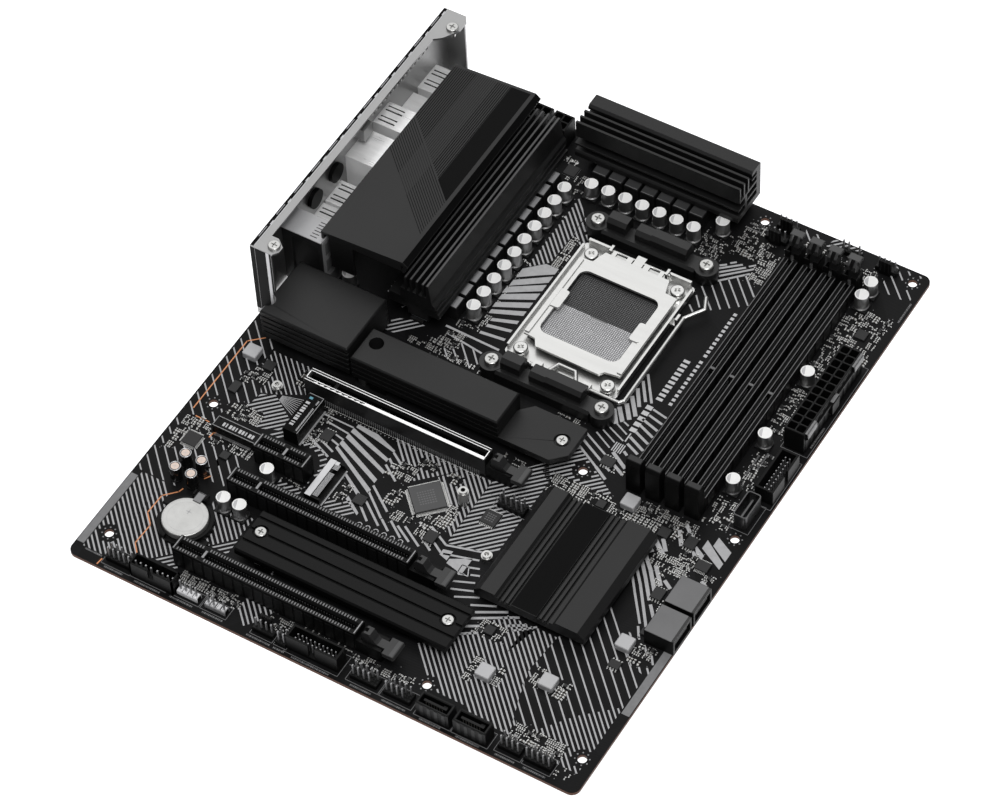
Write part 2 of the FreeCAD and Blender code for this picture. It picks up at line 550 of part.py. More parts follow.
def make_expansion_slots():
    for index, y in enumerate(PCIE_Y):
        width = 6.1 if index == 0 else 7.6
        node("pcie_x16_slot_%d" % (index + 1),
             slot_body(PCIE_X0, PCIE_X16_LENGTH, y, width, True))
        # card latch: hook toward the slot, pivot in the fork, tail pressed down
        latch = prism_y([(133.5, 3.4), (139.0, 3.0), (141.0, 5.4), (149.6, 5.8), (150.2, 6.8),
                         (149.6, 8.2), (140.8, 8.2), (139.4, 9.4), (137.6, 12.8),
                         (134.6, 12.8), (133.5, 11.6)], y - 2.0, y + 2.0)
        pad = prism_y([(144.3, 5.7), (149.6, 5.8), (150.2, 6.8), (149.6, 8.2), (144.3, 8.2)],
                      y - 4.4, y + 4.4)
        notch = box(133, y - 0.9, 8.8, 135.8, y + 0.9, 14)
        node("pcie_latch_%d" % (index + 1), join([latch, pad]).cut(notch))
    node("pcie_x1_slot", slot_body(PCIE_X0, PCIE_X1_LENGTH, PCIE_X1_Y, 7.6, False))

    # folded steel shell round the first slot
    y = PCIE_Y[0]
    x1 = PCIE_X0 + PCIE_X16_LENGTH
    outer = box(PCIE_X0 - 0.3, y - 3.35, 0.8, x1 - 0.2, y + 3.35, PCIE_H + 0.35)
    inner = box(PCIE_X0, y - 3.05, 0, x1 + 1, y + 3.05, PCIE_H)
    opening = box(PCIE_X0 + 1.0, y - 1.9, 9, x1 + 1, y + 1.9, 13)
    node("pcie_steel_shell", outer.cut([inner, opening]))


# ---------------------------------------------------------------- power connectors
def power_housing(x0, y0, columns_x, columns_y, height):
    """Shrouded power inlet: square cavities open at the top."""
    w = columns_x * ATX_PITCH + 1.0
    d = columns_y * ATX_PITCH + 1.0
    shape = box(x0, y0, 0, x0 + w, y0 + d, height)
    cells = []
    for i in range(columns_x):
        for j in range(columns_y):
            cx = x0 + 0.5 + ATX_PITCH * (i + 0.5)
            cy = y0 + 0.5 + ATX_PITCH * (j + 0.5)
            cell = block(cx, cy, 3.5, 3.5, 3.2, height + 1)
            if (i + j) % 2:
                cell = round_upright(cell, 0.9)
            cells.append(cell)
            node("header_pins", block(cx, cy, 1.1, 1.1, 3.2, height - 6.0))
    return shape.cut(cells)


def make_power_connectors():
    atx = power_housing(231.6, 193.6, 2, 12, 12.8)
    latch = prism_y([(241.0, 3.0), (242.6, 3.0), (242.6, 9.0), (241.0, 10.6)], 216.0, 222.0)
    rails = [prism_y([(241.0, 8.2), (242.0, 8.8), (242.0, 9.6), (241.0, 10.2)], 195.0, 243.4)]
    for y in (194.6, 235.8):
        rails.append(prism_y([(241.0, 8.2), (242.4, 9.6), (241.8, 12.8), (241.0, 12.8)], y, y + 8.2))
    node("atx_power_connector", join([atx, latch] + rails))
    for x0, columns in ((39.4, 4), (58.4, 2)):
        eps = power_housing(x0, 291.6, columns, 2, 12.8)
        width = columns * ATX_PITCH + 1.0
        mid = x0 + width / 2
        ramp = prism_x([(291.7, 4.0), (291.7, 11.0), (290.2, 9.4), (290.2, 4.0)],
                       mid - 2.0, mid + 2.0)
        node("cpu_power_connectors", join([eps, ramp]))


# ---------------------------------------------------------------- headers
def pin_grid(cx, cy, nx, ny, top, skip=()):
    for i in range(nx):
        for j in range(ny):
            if (i, j) in skip:
                continue
            x = cx + PIN_PITCH * (i - (nx - 1) / 2)
            y = cy + PIN_PITCH * (j - (ny - 1) / 2)
            node("header_pins", block(x, y, 0.64, 0.64, 2.3, top))


def pin_header(cx, cy, nx, ny, skip=()):
    node("pin_headers", block(cx, cy, nx * PIN_PITCH, ny * PIN_PITCH, 0, 2.3))
    pin_grid(cx, cy, nx, ny, 8.2, skip)


def fan_header(cx, cy, along_x, wall_side):
    """Four-pin fan header with a guide wall on one side."""
    length, depth = 10.2, 3.4
    w, d = (length, depth) if along_x else (depth, length)
    base = block(cx, cy, w, d, 0, 2.3)
    if along_x:
        wy = cy + wall_side * (depth / 2 + 0.5)
        wall = block(cx, wy, 5.6, 1.2, 0, 8.4)
    else:
        wx = cx + wall_side * (depth / 2 + 0.5)
        wall = block(wx, cy, 1.2, 5.6, 0, 8.4)
    node("fan_headers", join([base, wall]))
    pin_grid(cx, cy, 4 if along_x else 1, 1 if along_x else 4, 7.8)


def shrouded_header(cx, cy, nx, ny, h, key_side):
    """Box header with a slot in one long wall."""
    w = nx * 2.0 + 4.6
    d = ny * 2.0 + 3.0
    outer = block(cx, cy, w, d, 0, h)
    inner = block(cx, cy, w - 2.2, d - 2.0, 1.6, h + 1)
    if nx > ny:
        key = block(cx, cy + key_side * d / 2, 3.2, 2.6, 1.6, h + 1)
    else:
        key = block(cx + key_side * w / 2, cy, 2.6, 3.2, 1.6, h + 1)
    for i in range(nx):
        for j in range(ny):
            x = cx + 2.0 * (i - (nx - 1) / 2)
            y = cy + 2.0 * (j - (ny - 1) / 2)
            node("header_pins", block(x, y, 0.5, 0.5, 1.6, h - 2.0))
    return outer.cut([inner, key])


def make_headers():
    # bottom edge, rear to front
    pin_header(23.0, 7.0, 5, 2, skip=((3, 1),))
    fan_header(35.4, 5.8, True, -1)
    fan_header(46.2, 5.8, True, -1)
    pin_header(57.0, 6.2, 4, 1)
    pin_header(70.6, 6.2, 4, 1, skip=((2, 0),))
    fan_header(94.0, 6.0, True, 1)
    pin_header(103.4, 5.6, 2, 2)
    node("usb3_headers", shrouded_header(118.4, 7.2, 10, 2, 8.8, -1))
    pin_header(142.4, 6.6, 5, 2, skip=((4, 0),))
    pin_header(158.2, 6.6, 5, 2, skip=((4, 0),))
    pin_header(210.6, 7.0, 4, 2, skip=((3, 1),))
    pin_header(223.6, 7.0, 5, 2, skip=((0, 1),))
    # top edge and front edge
    fan_header(176.4, 299.4, True, -1)
    fan_header(224.6, 299.4, True, -1)
    pin_header(207.0, 299.8, 4, 1, skip=((2, 0),))
    fan_header(174.8, 291.6, True, -1)
    # beside the first expansion slot
    pin_header(149.6, 110.0, 5, 2, skip=((1, 1),))
    node("usb3_headers", shrouded_header(238.6, 175.0, 2, 10, 8.8, 1))

    outer = rounded_plate(233.2, 146.4, 239.6, 160.4, 0, 8.6, 1.4)
    inner = rounded_plate(233.7, 146.9, 239.1, 159.9, 0.8, 9.5, 1.0)
    tongue = box(236.0, 148.4, 0.6, 236.8, 158.4, 6.2)
    shell = join([outer.cut(inner), tongue])
    node("usb_c_header", shell)


def make_sata():
    for x0 in (168.6, 186.0):
        body = box(x0, 2.4, 0, x0 + 15.4, 9.0, 8.4)
        cavity = box(x0 + 1.2, 3.4, 1.8, x0 + 14.2, 7.6, 9)
        tongue = box(x0 + 2.4, 5.0, 1.7, x0 + 13.0, 6.2, 7.8)
        key = box(x0 + 11.0, 5.0, 1.7, x0 + 13.0, 6.9, 7.8)
        node("sata_connectors", join([body.cut(cavity), tongue, key]))
    for y0 in (77.6, 94.2):
        body = box(230.6, y0, 0, 244.4, y0 + 15.0, 8.6)
        cavity = box(233.6, y0 + 1.2, 1.6, 246, y0 + 13.8, 7.2)
        tongue = box(233.4, y0 + 2.4, 3.8, 243.6, y0 + 12.6, 5.0)
        node("sata_connectors", join([body.cut(cavity), tongue]))


# ---------------------------------------------------------------- battery
def make_battery():
    ring = join([rod(BATTERY_X, BATTERY_Y, 0, 1.6, 12.0),
                 rod(BATTERY_X, BATTERY_Y, 1.6, 3.4, 12.0).cut(
                     rod(BATTERY_X, BATTERY_Y, 1, 4, 10.5))])
    gap = [box(BATTERY_X - 3, BATTERY_Y - 14, 1.6, BATTERY_X + 3, BATTERY_Y - 8, 5),
           box(BATTERY_X - 14, BATTERY_Y - 3, 1.6, BATTERY_X - 8, BATTERY_Y + 3, 5)]
    clip = box(BATTERY_X - 3.4, BATTERY_Y + 10.6, 0, BATTERY_X + 3.4, BATTERY_Y + 13.4, 5.4)
    feet = [box(BATTERY_X - 14.2, BATTERY_Y + 4.0, 0, BATTERY_X - 10.0, BATTERY_Y + 7.6, 1.6),
            box(BATTERY_X + 10.0, BATTERY_Y - 7.6, 0, BATTERY_X + 14.2, BATTERY_Y - 4.0, 1.6)]
    node("battery_holder", join([ring.cut(gap), clip] + feet))
    cell = rod(BATTERY_X, BATTERY_Y, 1.75, 1.75 + BATTERY_H, BATTERY_R)
    rims = [e for e in cell.Edges if len(e.Vertexes) == 1]
    node("battery", cell.makeFillet(0.45, rims))


# ---------------------------------------------------------------- rear panel
USB_LOW = [(188.0, 202.4), (203.8, 217.2)]
USB_TALL = (244.2, 257.8)
USB_FAR = (280.4, 296.2)
VIDEO_PORT = (262.0, 277.0)
LAN = (221.4, 239.6)
AUDIO = (170.0, 182.2)
PORT_X0 = -2.6
ANTENNA = [(195.2, 26.5), (211.9, 26.9)]
BUTTON_Y = 233.0
BUTTON_Z = 35.0


def usb_stack(y0, y1, levels, depth, pitch=7.9):
    """Metal shell with one wide port per level and a tongue in each."""
    top = pitch * levels + 0.2
    shell = box(PORT_X0, y0, 0, depth, y1, top)
    cuts, tongues = [], []
    for level in range(levels):
        z = 1.1 + pitch * level
        cuts.append(box(PORT_X0 - 1, y0 + 0.5, z, PORT_X0 + 9.5, y1 - 0.5, z + 5.4))
        tongues.append(box(PORT_X0 + 0.6, y0 + 1.4, z + 3.1, PORT_X0 + 9.6, y1 - 1.4, z + 4.9))
    return join([shell.cut(cuts)] + tongues)


def make_rear_ports():
    for y0, y1 in USB_LOW:
        node("usb_stacks", usb_stack(y0, y1, 2, 14.6))
    node("usb_stacks", usb_stack(USB_TALL[0], USB_TALL[1], 3, 17.6, 9.3))
    node("usb_stacks", usb_stack(USB_FAR[0], USB_FAR[1], 2, 14.6))

    # network jack over two ports
    y0, y1 = LAN
    shell = box(PORT_X0, y0, 0, 19.6, y1, 28.0)
    jack = box(PORT_X0 - 1, y0 + 3.0, 16.8, PORT_X0 + 12.0, y1 - 3.0, 23.6)
    step = box(PORT_X0 - 1, y0 + 6.0, 23.5, PORT_X0 + 12.0, y1 - 6.0, 25.8)
    cuts, tongues = [jack, step], []
    for level in range(2):
        z = 1.0 + 7.6 * level
        cuts.append(box(PORT_X0 - 1, y0 + 2.6, z, PORT_X0 + 9.5, y1 - 2.6, z + 5.2))
        tongues.append(box(PORT_X0 + 0.6, y0 + 3.5, z + 2.9, PORT_X0 + 9.6, y1 - 3.5, z + 4.7))
    node("lan_usb_stack", join([shell.cut(cuts)] + tongues))

    # display port below a small oval port
    y0, y1 = VIDEO_PORT
    mid = (y0 + y1) / 2
    shell = box(PORT_X0, y0, 0, 12.4, y1, 15.8)
    video = prism_x([(y0 + 0.6, 5.9), (y0 + 0.6, 3.0), (y0 + 2.4, 1.0), (y1 - 2.4, 1.0),
                     (y1 - 0.6, 3.0), (y1 - 0.6, 5.9)], PORT_X0 - 1, PORT_X0 + 9.0)
    video_tongue = box(PORT_X0 + 0.8, y0 + 2.6, 3.0, PORT_X0 + 9.2, y1 - 2.6, 3.9)
    oval = box(PORT_X0 - 1, mid - 4.3, 10.2, PORT_X0 + 8.0, mid + 4.3, 13.4)
    along = [e for e in oval.Edges
             if abs(e.Vertexes[0].Point.x - e.Vertexes[-1].Point.x) > 1]
    oval = oval.makeFillet(1.5, along)
    oval_tongue = box(PORT_X0 + 0.8, mid - 3.2, 11.5, PORT_X0 + 8.2, mid + 3.2, 12.1)
    node("video_port", join([shell.cut([video, oval]), video_tongue, oval_tongue]))

    # three round jacks, one above the other
    y0, y1 = AUDIO
    mid = (y0 + y1) / 2
    body = box(-0.9, y0, 0, 19.4, y1, 33.0)
    collars, bores = [], []
    for level in range(3):
        z = 6.0 + 10.6 * level
        collars.append(rod_x(PORT_X0 - 0.4, 0, mid, z, 4.2))
        bores.append(rod_x(PORT_X0 - 1.4, 20.4, mid, z, 1.8))
    side = box(4.0, y0 - 1, 4.0, 17.6, y0 + 1.0, 29.0)
    node("audio_jack_stack", join([body] + collars).cut(bores + [side]))

    # black blanking plugs in the antenna holes
    for y, z in ANTENNA:
        plug = join([rod_x(SHIELD_X + SHIELD_THICK, 1.0, y, z, 4.7),
                     rod_x(SHIELD_X - 0.5, SHIELD_X + SHIELD_THICK, y, z, 3.0)])
        node("antenna_plugs", plug)

    # push button, proud of the plate and running in its guide
    node("flash_button", rod_x(SHIELD_X - 1.6, 1.1, BUTTON_Y, BUTTON_Z, 2.0))


def make_io_shield():
    x0, x1 = SHIELD_X, SHIELD_X + SHIELD_THICK
    plate = box(x0, SHIELD_Y0, SHIELD_Z0, x1, SHIELD_Y1, SHIELD_Z1)
    top_z = SHIELD_Z1 - 1.0
    top = box(x0, SHIELD_Y0, top_z, 3.5, SHIELD_Y1, SHIELD_Z1)
    ear_low = prism_z([(x0, SHIELD_Y0), (9.2, SHIELD_Y0), (11.2, 151.0), (11.2, 154.0),
                       (7.0, 157.4), (3.4, 157.4), (x0, 157.4)], top_z, SHIELD_Z1)
    ear_high = prism_z([(x0, SHIELD_Y1), (9.2, SHIELD_Y1), (11.2, 304.0), (11.2, 298.0),
                        (7.0, 291.0), (3.4, 288.0), (x0, 288.0)], top_z, SHIELD_Z1)
    ends = [box(x0, SHIELD_Y0, 0.4, 8.6, SHIELD_Y0 + 1.0, SHIELD_Z1),
            box(x0, SHIELD_Y1 - 1.0, 0.4, 8.6, SHIELD_Y1, SHIELD_Z1)]
    feet = [box(1.0, SHIELD_Y0, 0.0, 8.6, SHIELD_Y0 + 4.6, 1.0),
            box(1.0, 300.4, 0.0, 8.6, SHIELD_Y1, 1.0)]
    clear = 0.35
    cuts = []
    for y0, y1 in USB_LOW + [USB_FAR]:
        cuts.append(box(x0 - 1, y0 - clear, -clear, x1 + 0.5, y1 + clear, 16.0 + clear))
    y0, y1 = VIDEO_PORT
    cuts.append(box(x0 - 1, y0 - clear, -clear, x1 + 0.5, y1 + clear, 15.8 + clear))
    for y0, y1 in (USB_TALL, LAN):
        cuts.append(box(x0 - 1, y0 - clear, -clear, x1 + 0.5, y1 + clear, 28.1 + clear))
    mid = sum(AUDIO) / 2
    for level in range(3):
        cuts.append(rod_x(x0 - 1, x1 + 1, mid, 6.0 + 10.6 * level, 4.5))
    for y, z in ANTENNA:
        cuts.append(rod_x(x0 - 1, x1 + 1, y, z, 3.0))
    for step in range(14):
        y = 244.0 + 3.4 * step
        cuts.append(box(x0 - 1, y, 31.6, x1 + 0.5, y + 2.0, 38.6))
    for y in (152.9, 297.9):
        cuts.append(rod(7.6, y, top_z - 1, SHIELD_Z1 + 1, 1.7))
    guide = box(x1 - 0.1, BUTTON_Y - 3.4, BUTTON_Z - 3.4, 4.0, BUTTON_Y + 3.4, BUTTON_Z + 3.4)
    cuts.append(rod_x(x0 - 1, 2.6, BUTTON_Y, BUTTON_Z, 2.35))
    pieces = [plate, top, ear_low, ear_high, guide] + ends + feet
    node("io_shield", join(pieces).cut(cuts))

    for y in (152.9, 297.9):
        head = rod(7.6, y, SHIELD_Z1, SHIELD_Z1 + 1.2, 2.8)
        head = head.makeFillet(0.5, [head.Edges[0]])
        cross = [block(7.6, y, 3.0, 0.6, SHIELD_Z1 + 0.6, 45),
                 block(7.6, y, 0.6, 3.0, SHIELD_Z1 + 0.6, 45)]
        shank = rod(7.6, y, top_z - 3.4, SHIELD_Z1, 1.4)
        node("cover_screws", head.cut(cross).fuse(shank).removeSplitter())


# ---------------------------------------------------------------- chips and small parts
# centre x, centre y, width, depth, height, turn in degrees
CHIPS = (
    (116.2, 96.6, 14.0, 14.0, 1.4, 45), (144.5, 100.5, 7.2, 7.2, 1.1, 0),
    (76.6, 282.4, 6.0, 6.0, 0.9, 0), (13.0, 74.5, 7.0, 7.0, 1.0, 0),
    (13.5, 107.0, 4.0, 6.0, 1.0, 0), (224.0, 101.0, 5.0, 6.0, 1.2, 0),
    (223.0, 130.0, 5.0, 6.0, 1.2, 0), (233.0, 122.0, 6.0, 5.0, 1.2, 0),
    (173.4, 51.7, 4.4, 4.4, 1.0, 0), (210.7, 129.4, 5.0, 5.0, 1.0, 0),
    (228.8, 82.0, 3.6, 3.6, 0.9, 0), (180.6, 129.4, 4.0, 4.0, 0.9, 0),
    (62.0, 104.0, 5.0, 6.0, 1.2, 0), (92.0, 82.0, 5.2, 5.2, 1.0, 0),
    (128.0, 80.0, 5.0, 6.2, 1.3, 0), (30.0, 74.0, 4.0, 4.0, 0.9, 0),
    (20.0, 124.0, 5.0, 5.0, 0.9, 0), (226.0, 62.0, 5.0, 4.0, 1.0, 0),
    (232.0, 262.0, 5.0, 5.0, 1.0, 0), (172.0, 150.0, 6.0, 5.0, 1.1, 0))
INDUCTORS = ((10.2, 126.0), (191.1, 135.5), (224.9, 72.5), (207.6, 40.8), (182.9, 32.5))


def make_small_parts():
    for x, y, w, d, h, angle in CHIPS:
        body = block(x, y, w, d, 0, h)
        rim = [e for e in body.Edges if all(v.Point.z > h - 0.01 for v in e.Vertexes)]
        node("ic_packages", turned(body.makeChamfer(0.15, rim), x, y, angle))
    for x, y in INDUCTORS:
        body = rounded_plate(x - 3.4, y - 3.4, x + 3.4, y + 3.4, 0, 3.0, 0.8)
        rim = [e for e in body.Edges if all(v.Point.z > 2.99 for v in e.Vertexes)]
        node("power_inductors", body.makeChamfer(0.3, rim))


# ---------------------------------------------------------------- build and write
def main():
    make_pcb()
    make_socket()
    make_load_plate()
    make_lever()
    make_cooler_brackets()
    make_rear_heatsink()
    make_io_cover()
    make_top_heatsink()
    make_power_stages()
    make_capacitors()
    make_chipset()
    make_m2_covers()
    make_m2_sockets()
    make_dimm_slots()
    make_expansion_slots()
    make_power_connectors()
    make_headers()
    make_sata()
    make_battery()
    make_rear_ports()
    make_io_shield()
    make_small_parts()

    os.makedirs("parts", exist_ok=True)
    for name, shapes in NODES.items():
        shape = shapes[0] if len(shapes) == 1 else Part.makeCompound(shapes)
        shape = shape.copy()
        shape.translate(OFFSET)
        if not shape.isValid():
            raise RuntimeError("invalid shape in " + name)
        shape.exportStep("parts/" + name + ".step")
        print(name, len(shape.Solids), round(shape.Volume, 1))
    print(len(NODES), "parts")


main()
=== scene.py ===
"""Visual model of a full-size computer motherboard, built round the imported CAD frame.

Sizes are in millimetres in board coordinates: x from the rear edge, y from the bottom edge,
z up from the component side of the board. at() turns them into the frame's metres.
"""
import math
import random

import bpy
from mathutils import Matrix, Vector
from mathutils.bvhtree import BVHTree


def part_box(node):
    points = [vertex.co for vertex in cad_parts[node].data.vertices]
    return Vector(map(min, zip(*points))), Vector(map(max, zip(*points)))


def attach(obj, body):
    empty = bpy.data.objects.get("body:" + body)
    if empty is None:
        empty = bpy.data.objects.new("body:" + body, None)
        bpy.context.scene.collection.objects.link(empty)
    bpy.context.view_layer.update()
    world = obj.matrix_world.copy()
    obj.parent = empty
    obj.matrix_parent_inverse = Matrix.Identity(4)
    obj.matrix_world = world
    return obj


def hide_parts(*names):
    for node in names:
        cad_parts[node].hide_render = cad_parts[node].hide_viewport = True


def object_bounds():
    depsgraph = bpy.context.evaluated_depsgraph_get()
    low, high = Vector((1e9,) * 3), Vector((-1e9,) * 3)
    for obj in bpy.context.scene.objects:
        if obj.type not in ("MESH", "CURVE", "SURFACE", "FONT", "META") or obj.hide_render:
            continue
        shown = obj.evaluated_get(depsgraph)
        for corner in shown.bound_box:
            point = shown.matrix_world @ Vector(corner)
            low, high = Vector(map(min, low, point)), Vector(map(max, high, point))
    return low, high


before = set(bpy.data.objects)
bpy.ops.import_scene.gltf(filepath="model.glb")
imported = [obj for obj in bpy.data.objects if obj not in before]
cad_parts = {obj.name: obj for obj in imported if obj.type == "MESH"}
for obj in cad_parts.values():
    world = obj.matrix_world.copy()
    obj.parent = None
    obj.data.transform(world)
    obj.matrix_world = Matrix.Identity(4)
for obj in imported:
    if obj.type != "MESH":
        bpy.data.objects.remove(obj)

CAD_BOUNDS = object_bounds()
MM = 0.001
PCB_LOW, PCB_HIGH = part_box("pcb")
ROOT = "board"


# ------------------------------------------------------------------ places
def at(x, y, z=0.0):
    """A point in board millimetres as a point of the frame in metres."""
    return Vector((PCB_LOW.x + x * MM, PCB_LOW.y + y * MM, PCB_HIGH.z + z * MM))


def span(node):
    """A CAD node's box in board millimetres: x0, y0, z0, x1, y1, z1."""
    low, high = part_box(node)
    base = Vector((PCB_LOW.x, PCB_LOW.y, PCB_HIGH.z))
    return tuple((low - base) / MM) + tuple((high - base) / MM)


def swing(x, y, along, across, degrees):
    """The point along and across a line that leaves x, y at an angle."""
    c, s = math.cos(math.radians(degrees)), math.sin(math.radians(degrees))
    return x + along * c - across * s, y + along * s + across * c


def polar(x, y, radius, degrees):
    """The point at a radius and an angle round x, y."""
    return swing(x, y, radius, 0.0, degrees)


def rectangle(x0, y0, x1, y1):
    """A closed path round four corners."""
    return [(x0, y0), (x1, y0), (x1, y1), (x0, y1), (x0, y0)]


def beside(middle, side, near, far):
    """Two distances on one side of a middle line, the lower value first."""
    return sorted((middle + side * near, middle + side * far))


def steps(start, stop, step):
    """start, start + step and so on, short of stop."""
    while start < stop:
        yield start
        start += step


def grid(x, y, columns, rows, pitch=2.54):
    """Centres of a field of pins round a point."""
    return [(x + pitch * (i - (columns - 1) / 2), y + pitch * (j - (rows - 1) / 2))
            for i in range(columns) for j in range(rows)]


# ------------------------------------------------------------------ materials
ROUGH_SPREAD = 0.08


def grey(value):
    """A barely cool grey."""
    return (value, value, value * 1.02)


def add_node(material, kind, output, inputs=None, **settings):
    """Add a shader node, give its inputs values or links, and return one of its outputs."""
    made = material.node_tree.nodes.new("ShaderNode" + kind)
    for name, value in settings.items():
        setattr(made, name, value)
    for key, value in (inputs or {}).items():
        if isinstance(value, bpy.types.NodeSocket):
            material.node_tree.links.new(value, made.inputs[key])
        else:
            made.inputs[key].default_value = value
    return made.outputs[output]


def surface(name, colour, rough, metal=0.0, tone=0.12, tone_scale=60.0, grain=0.06,
            grain_scale=900.0, stretch=(1, 1, 1), specular=0.5):
    """Noise-varied colour and roughness with a fine bump, in the object's own coordinates.

    A colour given as one number is a grey.
    """
    colour = colour if isinstance(colour, tuple) else grey(colour)
    material = bpy.data.materials.new(name)
    material.use_nodes = True
    links = material.node_tree.links
    shader = material.node_tree.nodes["Principled BSDF"].inputs
    shader["Metallic"].default_value = metal
    shader["Specular IOR Level"].default_value = specular
    place = add_node(material, "TexCoord", "Object")
    mapped = add_node(material, "Mapping", "Vector", {"Vector": place, "Scale": stretch})

    patch = add_node(material, "TexNoise", "Fac", {"Vector": mapped, "Scale": tone_scale, "Detail": 4.0})
    shade = add_node(material, "ValToRGB", "Color", {"Fac": patch})
    low, high = shade.node.color_ramp.elements
    low.position, high.position = 0.3, 0.7
    low.color = [c * (1 - tone) for c in colour] + [1]
    high.color = [min(1.0, c * (1 + tone)) for c in colour] + [1]
    links.new(shade, shader["Base Color"])

    spread = {"Value": patch, "To Min": max(0.02, rough - ROUGH_SPREAD),
              "To Max": min(1.0, rough + ROUGH_SPREAD)}
    links.new(add_node(material, "MapRange", "Result", spread), shader["Roughness"])

    fine = add_node(material, "TexNoise", "Fac", {"Vector": mapped, "Scale": grain_scale, "Detail": 3.0})
    bump = {"Height": fine, "Strength": grain, "Distance": 0.0002}
    links.new(add_node(material, "Bump", "Normal", bump), shader["Normal"])
    return material


def add_traces(material):
    """Faint buried traces under black solder mask, with bare laminate on the cut edges."""
    base = material.node_tree.nodes["Principled BSDF"].inputs["Base Color"]
    mask = base.links[0].from_socket
    place = add_node(material, "TexCoord", "Object")
    turn = (0, 0, math.radians(45))
    slant = add_node(material, "Mapping", "Vector", {"Vector": place, "Rotation": turn})
    traces = add_node(material, "TexWave", "Fac", {"Vector": slant, "Scale": 420.0, "Distortion": 0.0})
    regions = add_node(material, "TexVoronoi", "Color", {"Vector": place, "Scale": 40.0})
    lined = add_node(material, "Math", "Value", {0: traces, 1: regions}, operation="MULTIPLY")
    copper = add_node(material, "Mix", "Result",
                      {"Factor": lined, "A": mask, "B": (0.011, 0.011, 0.012, 1)}, data_type="RGBA")

    normal = add_node(material, "NewGeometry", "True Normal")
    upright = add_node(material, "SeparateXYZ", "Z", {"Vector": normal})
    size = add_node(material, "Math", "Value", {0: upright}, operation="ABSOLUTE")
    flat = add_node(material, "Math", "Value", {0: size, 1: 0.5}, operation="GREATER_THAN")
    edge = add_node(material, "Mix", "Result",
                    {"Factor": flat, "A": (0.105, 0.045, 0.026, 1), "B": copper}, data_type="RGBA")
    material.node_tree.links.new(edge, base)


def paint_outside(material):
    """Black paint on the faces that look out of the case, steel on all the others."""
    base = material.node_tree.nodes["Principled BSDF"].inputs["Base Color"]
    steel = base.links[0].from_socket
    normal = add_node(material, "NewGeometry", "True Normal")
    rearward = add_node(material, "SeparateXYZ", "X", {"Vector": normal})
    outward = add_node(material, "Math", "Value", {0: rearward, 1: -0.9}, operation="LESS_THAN")
    paint = add_node(material, "Mix", "Result",
                     {"Factor": outward, "A": steel, "B": (0.008, 0.008, 0.009, 1)}, data_type="RGBA")
    material.node_tree.links.new(paint, base)


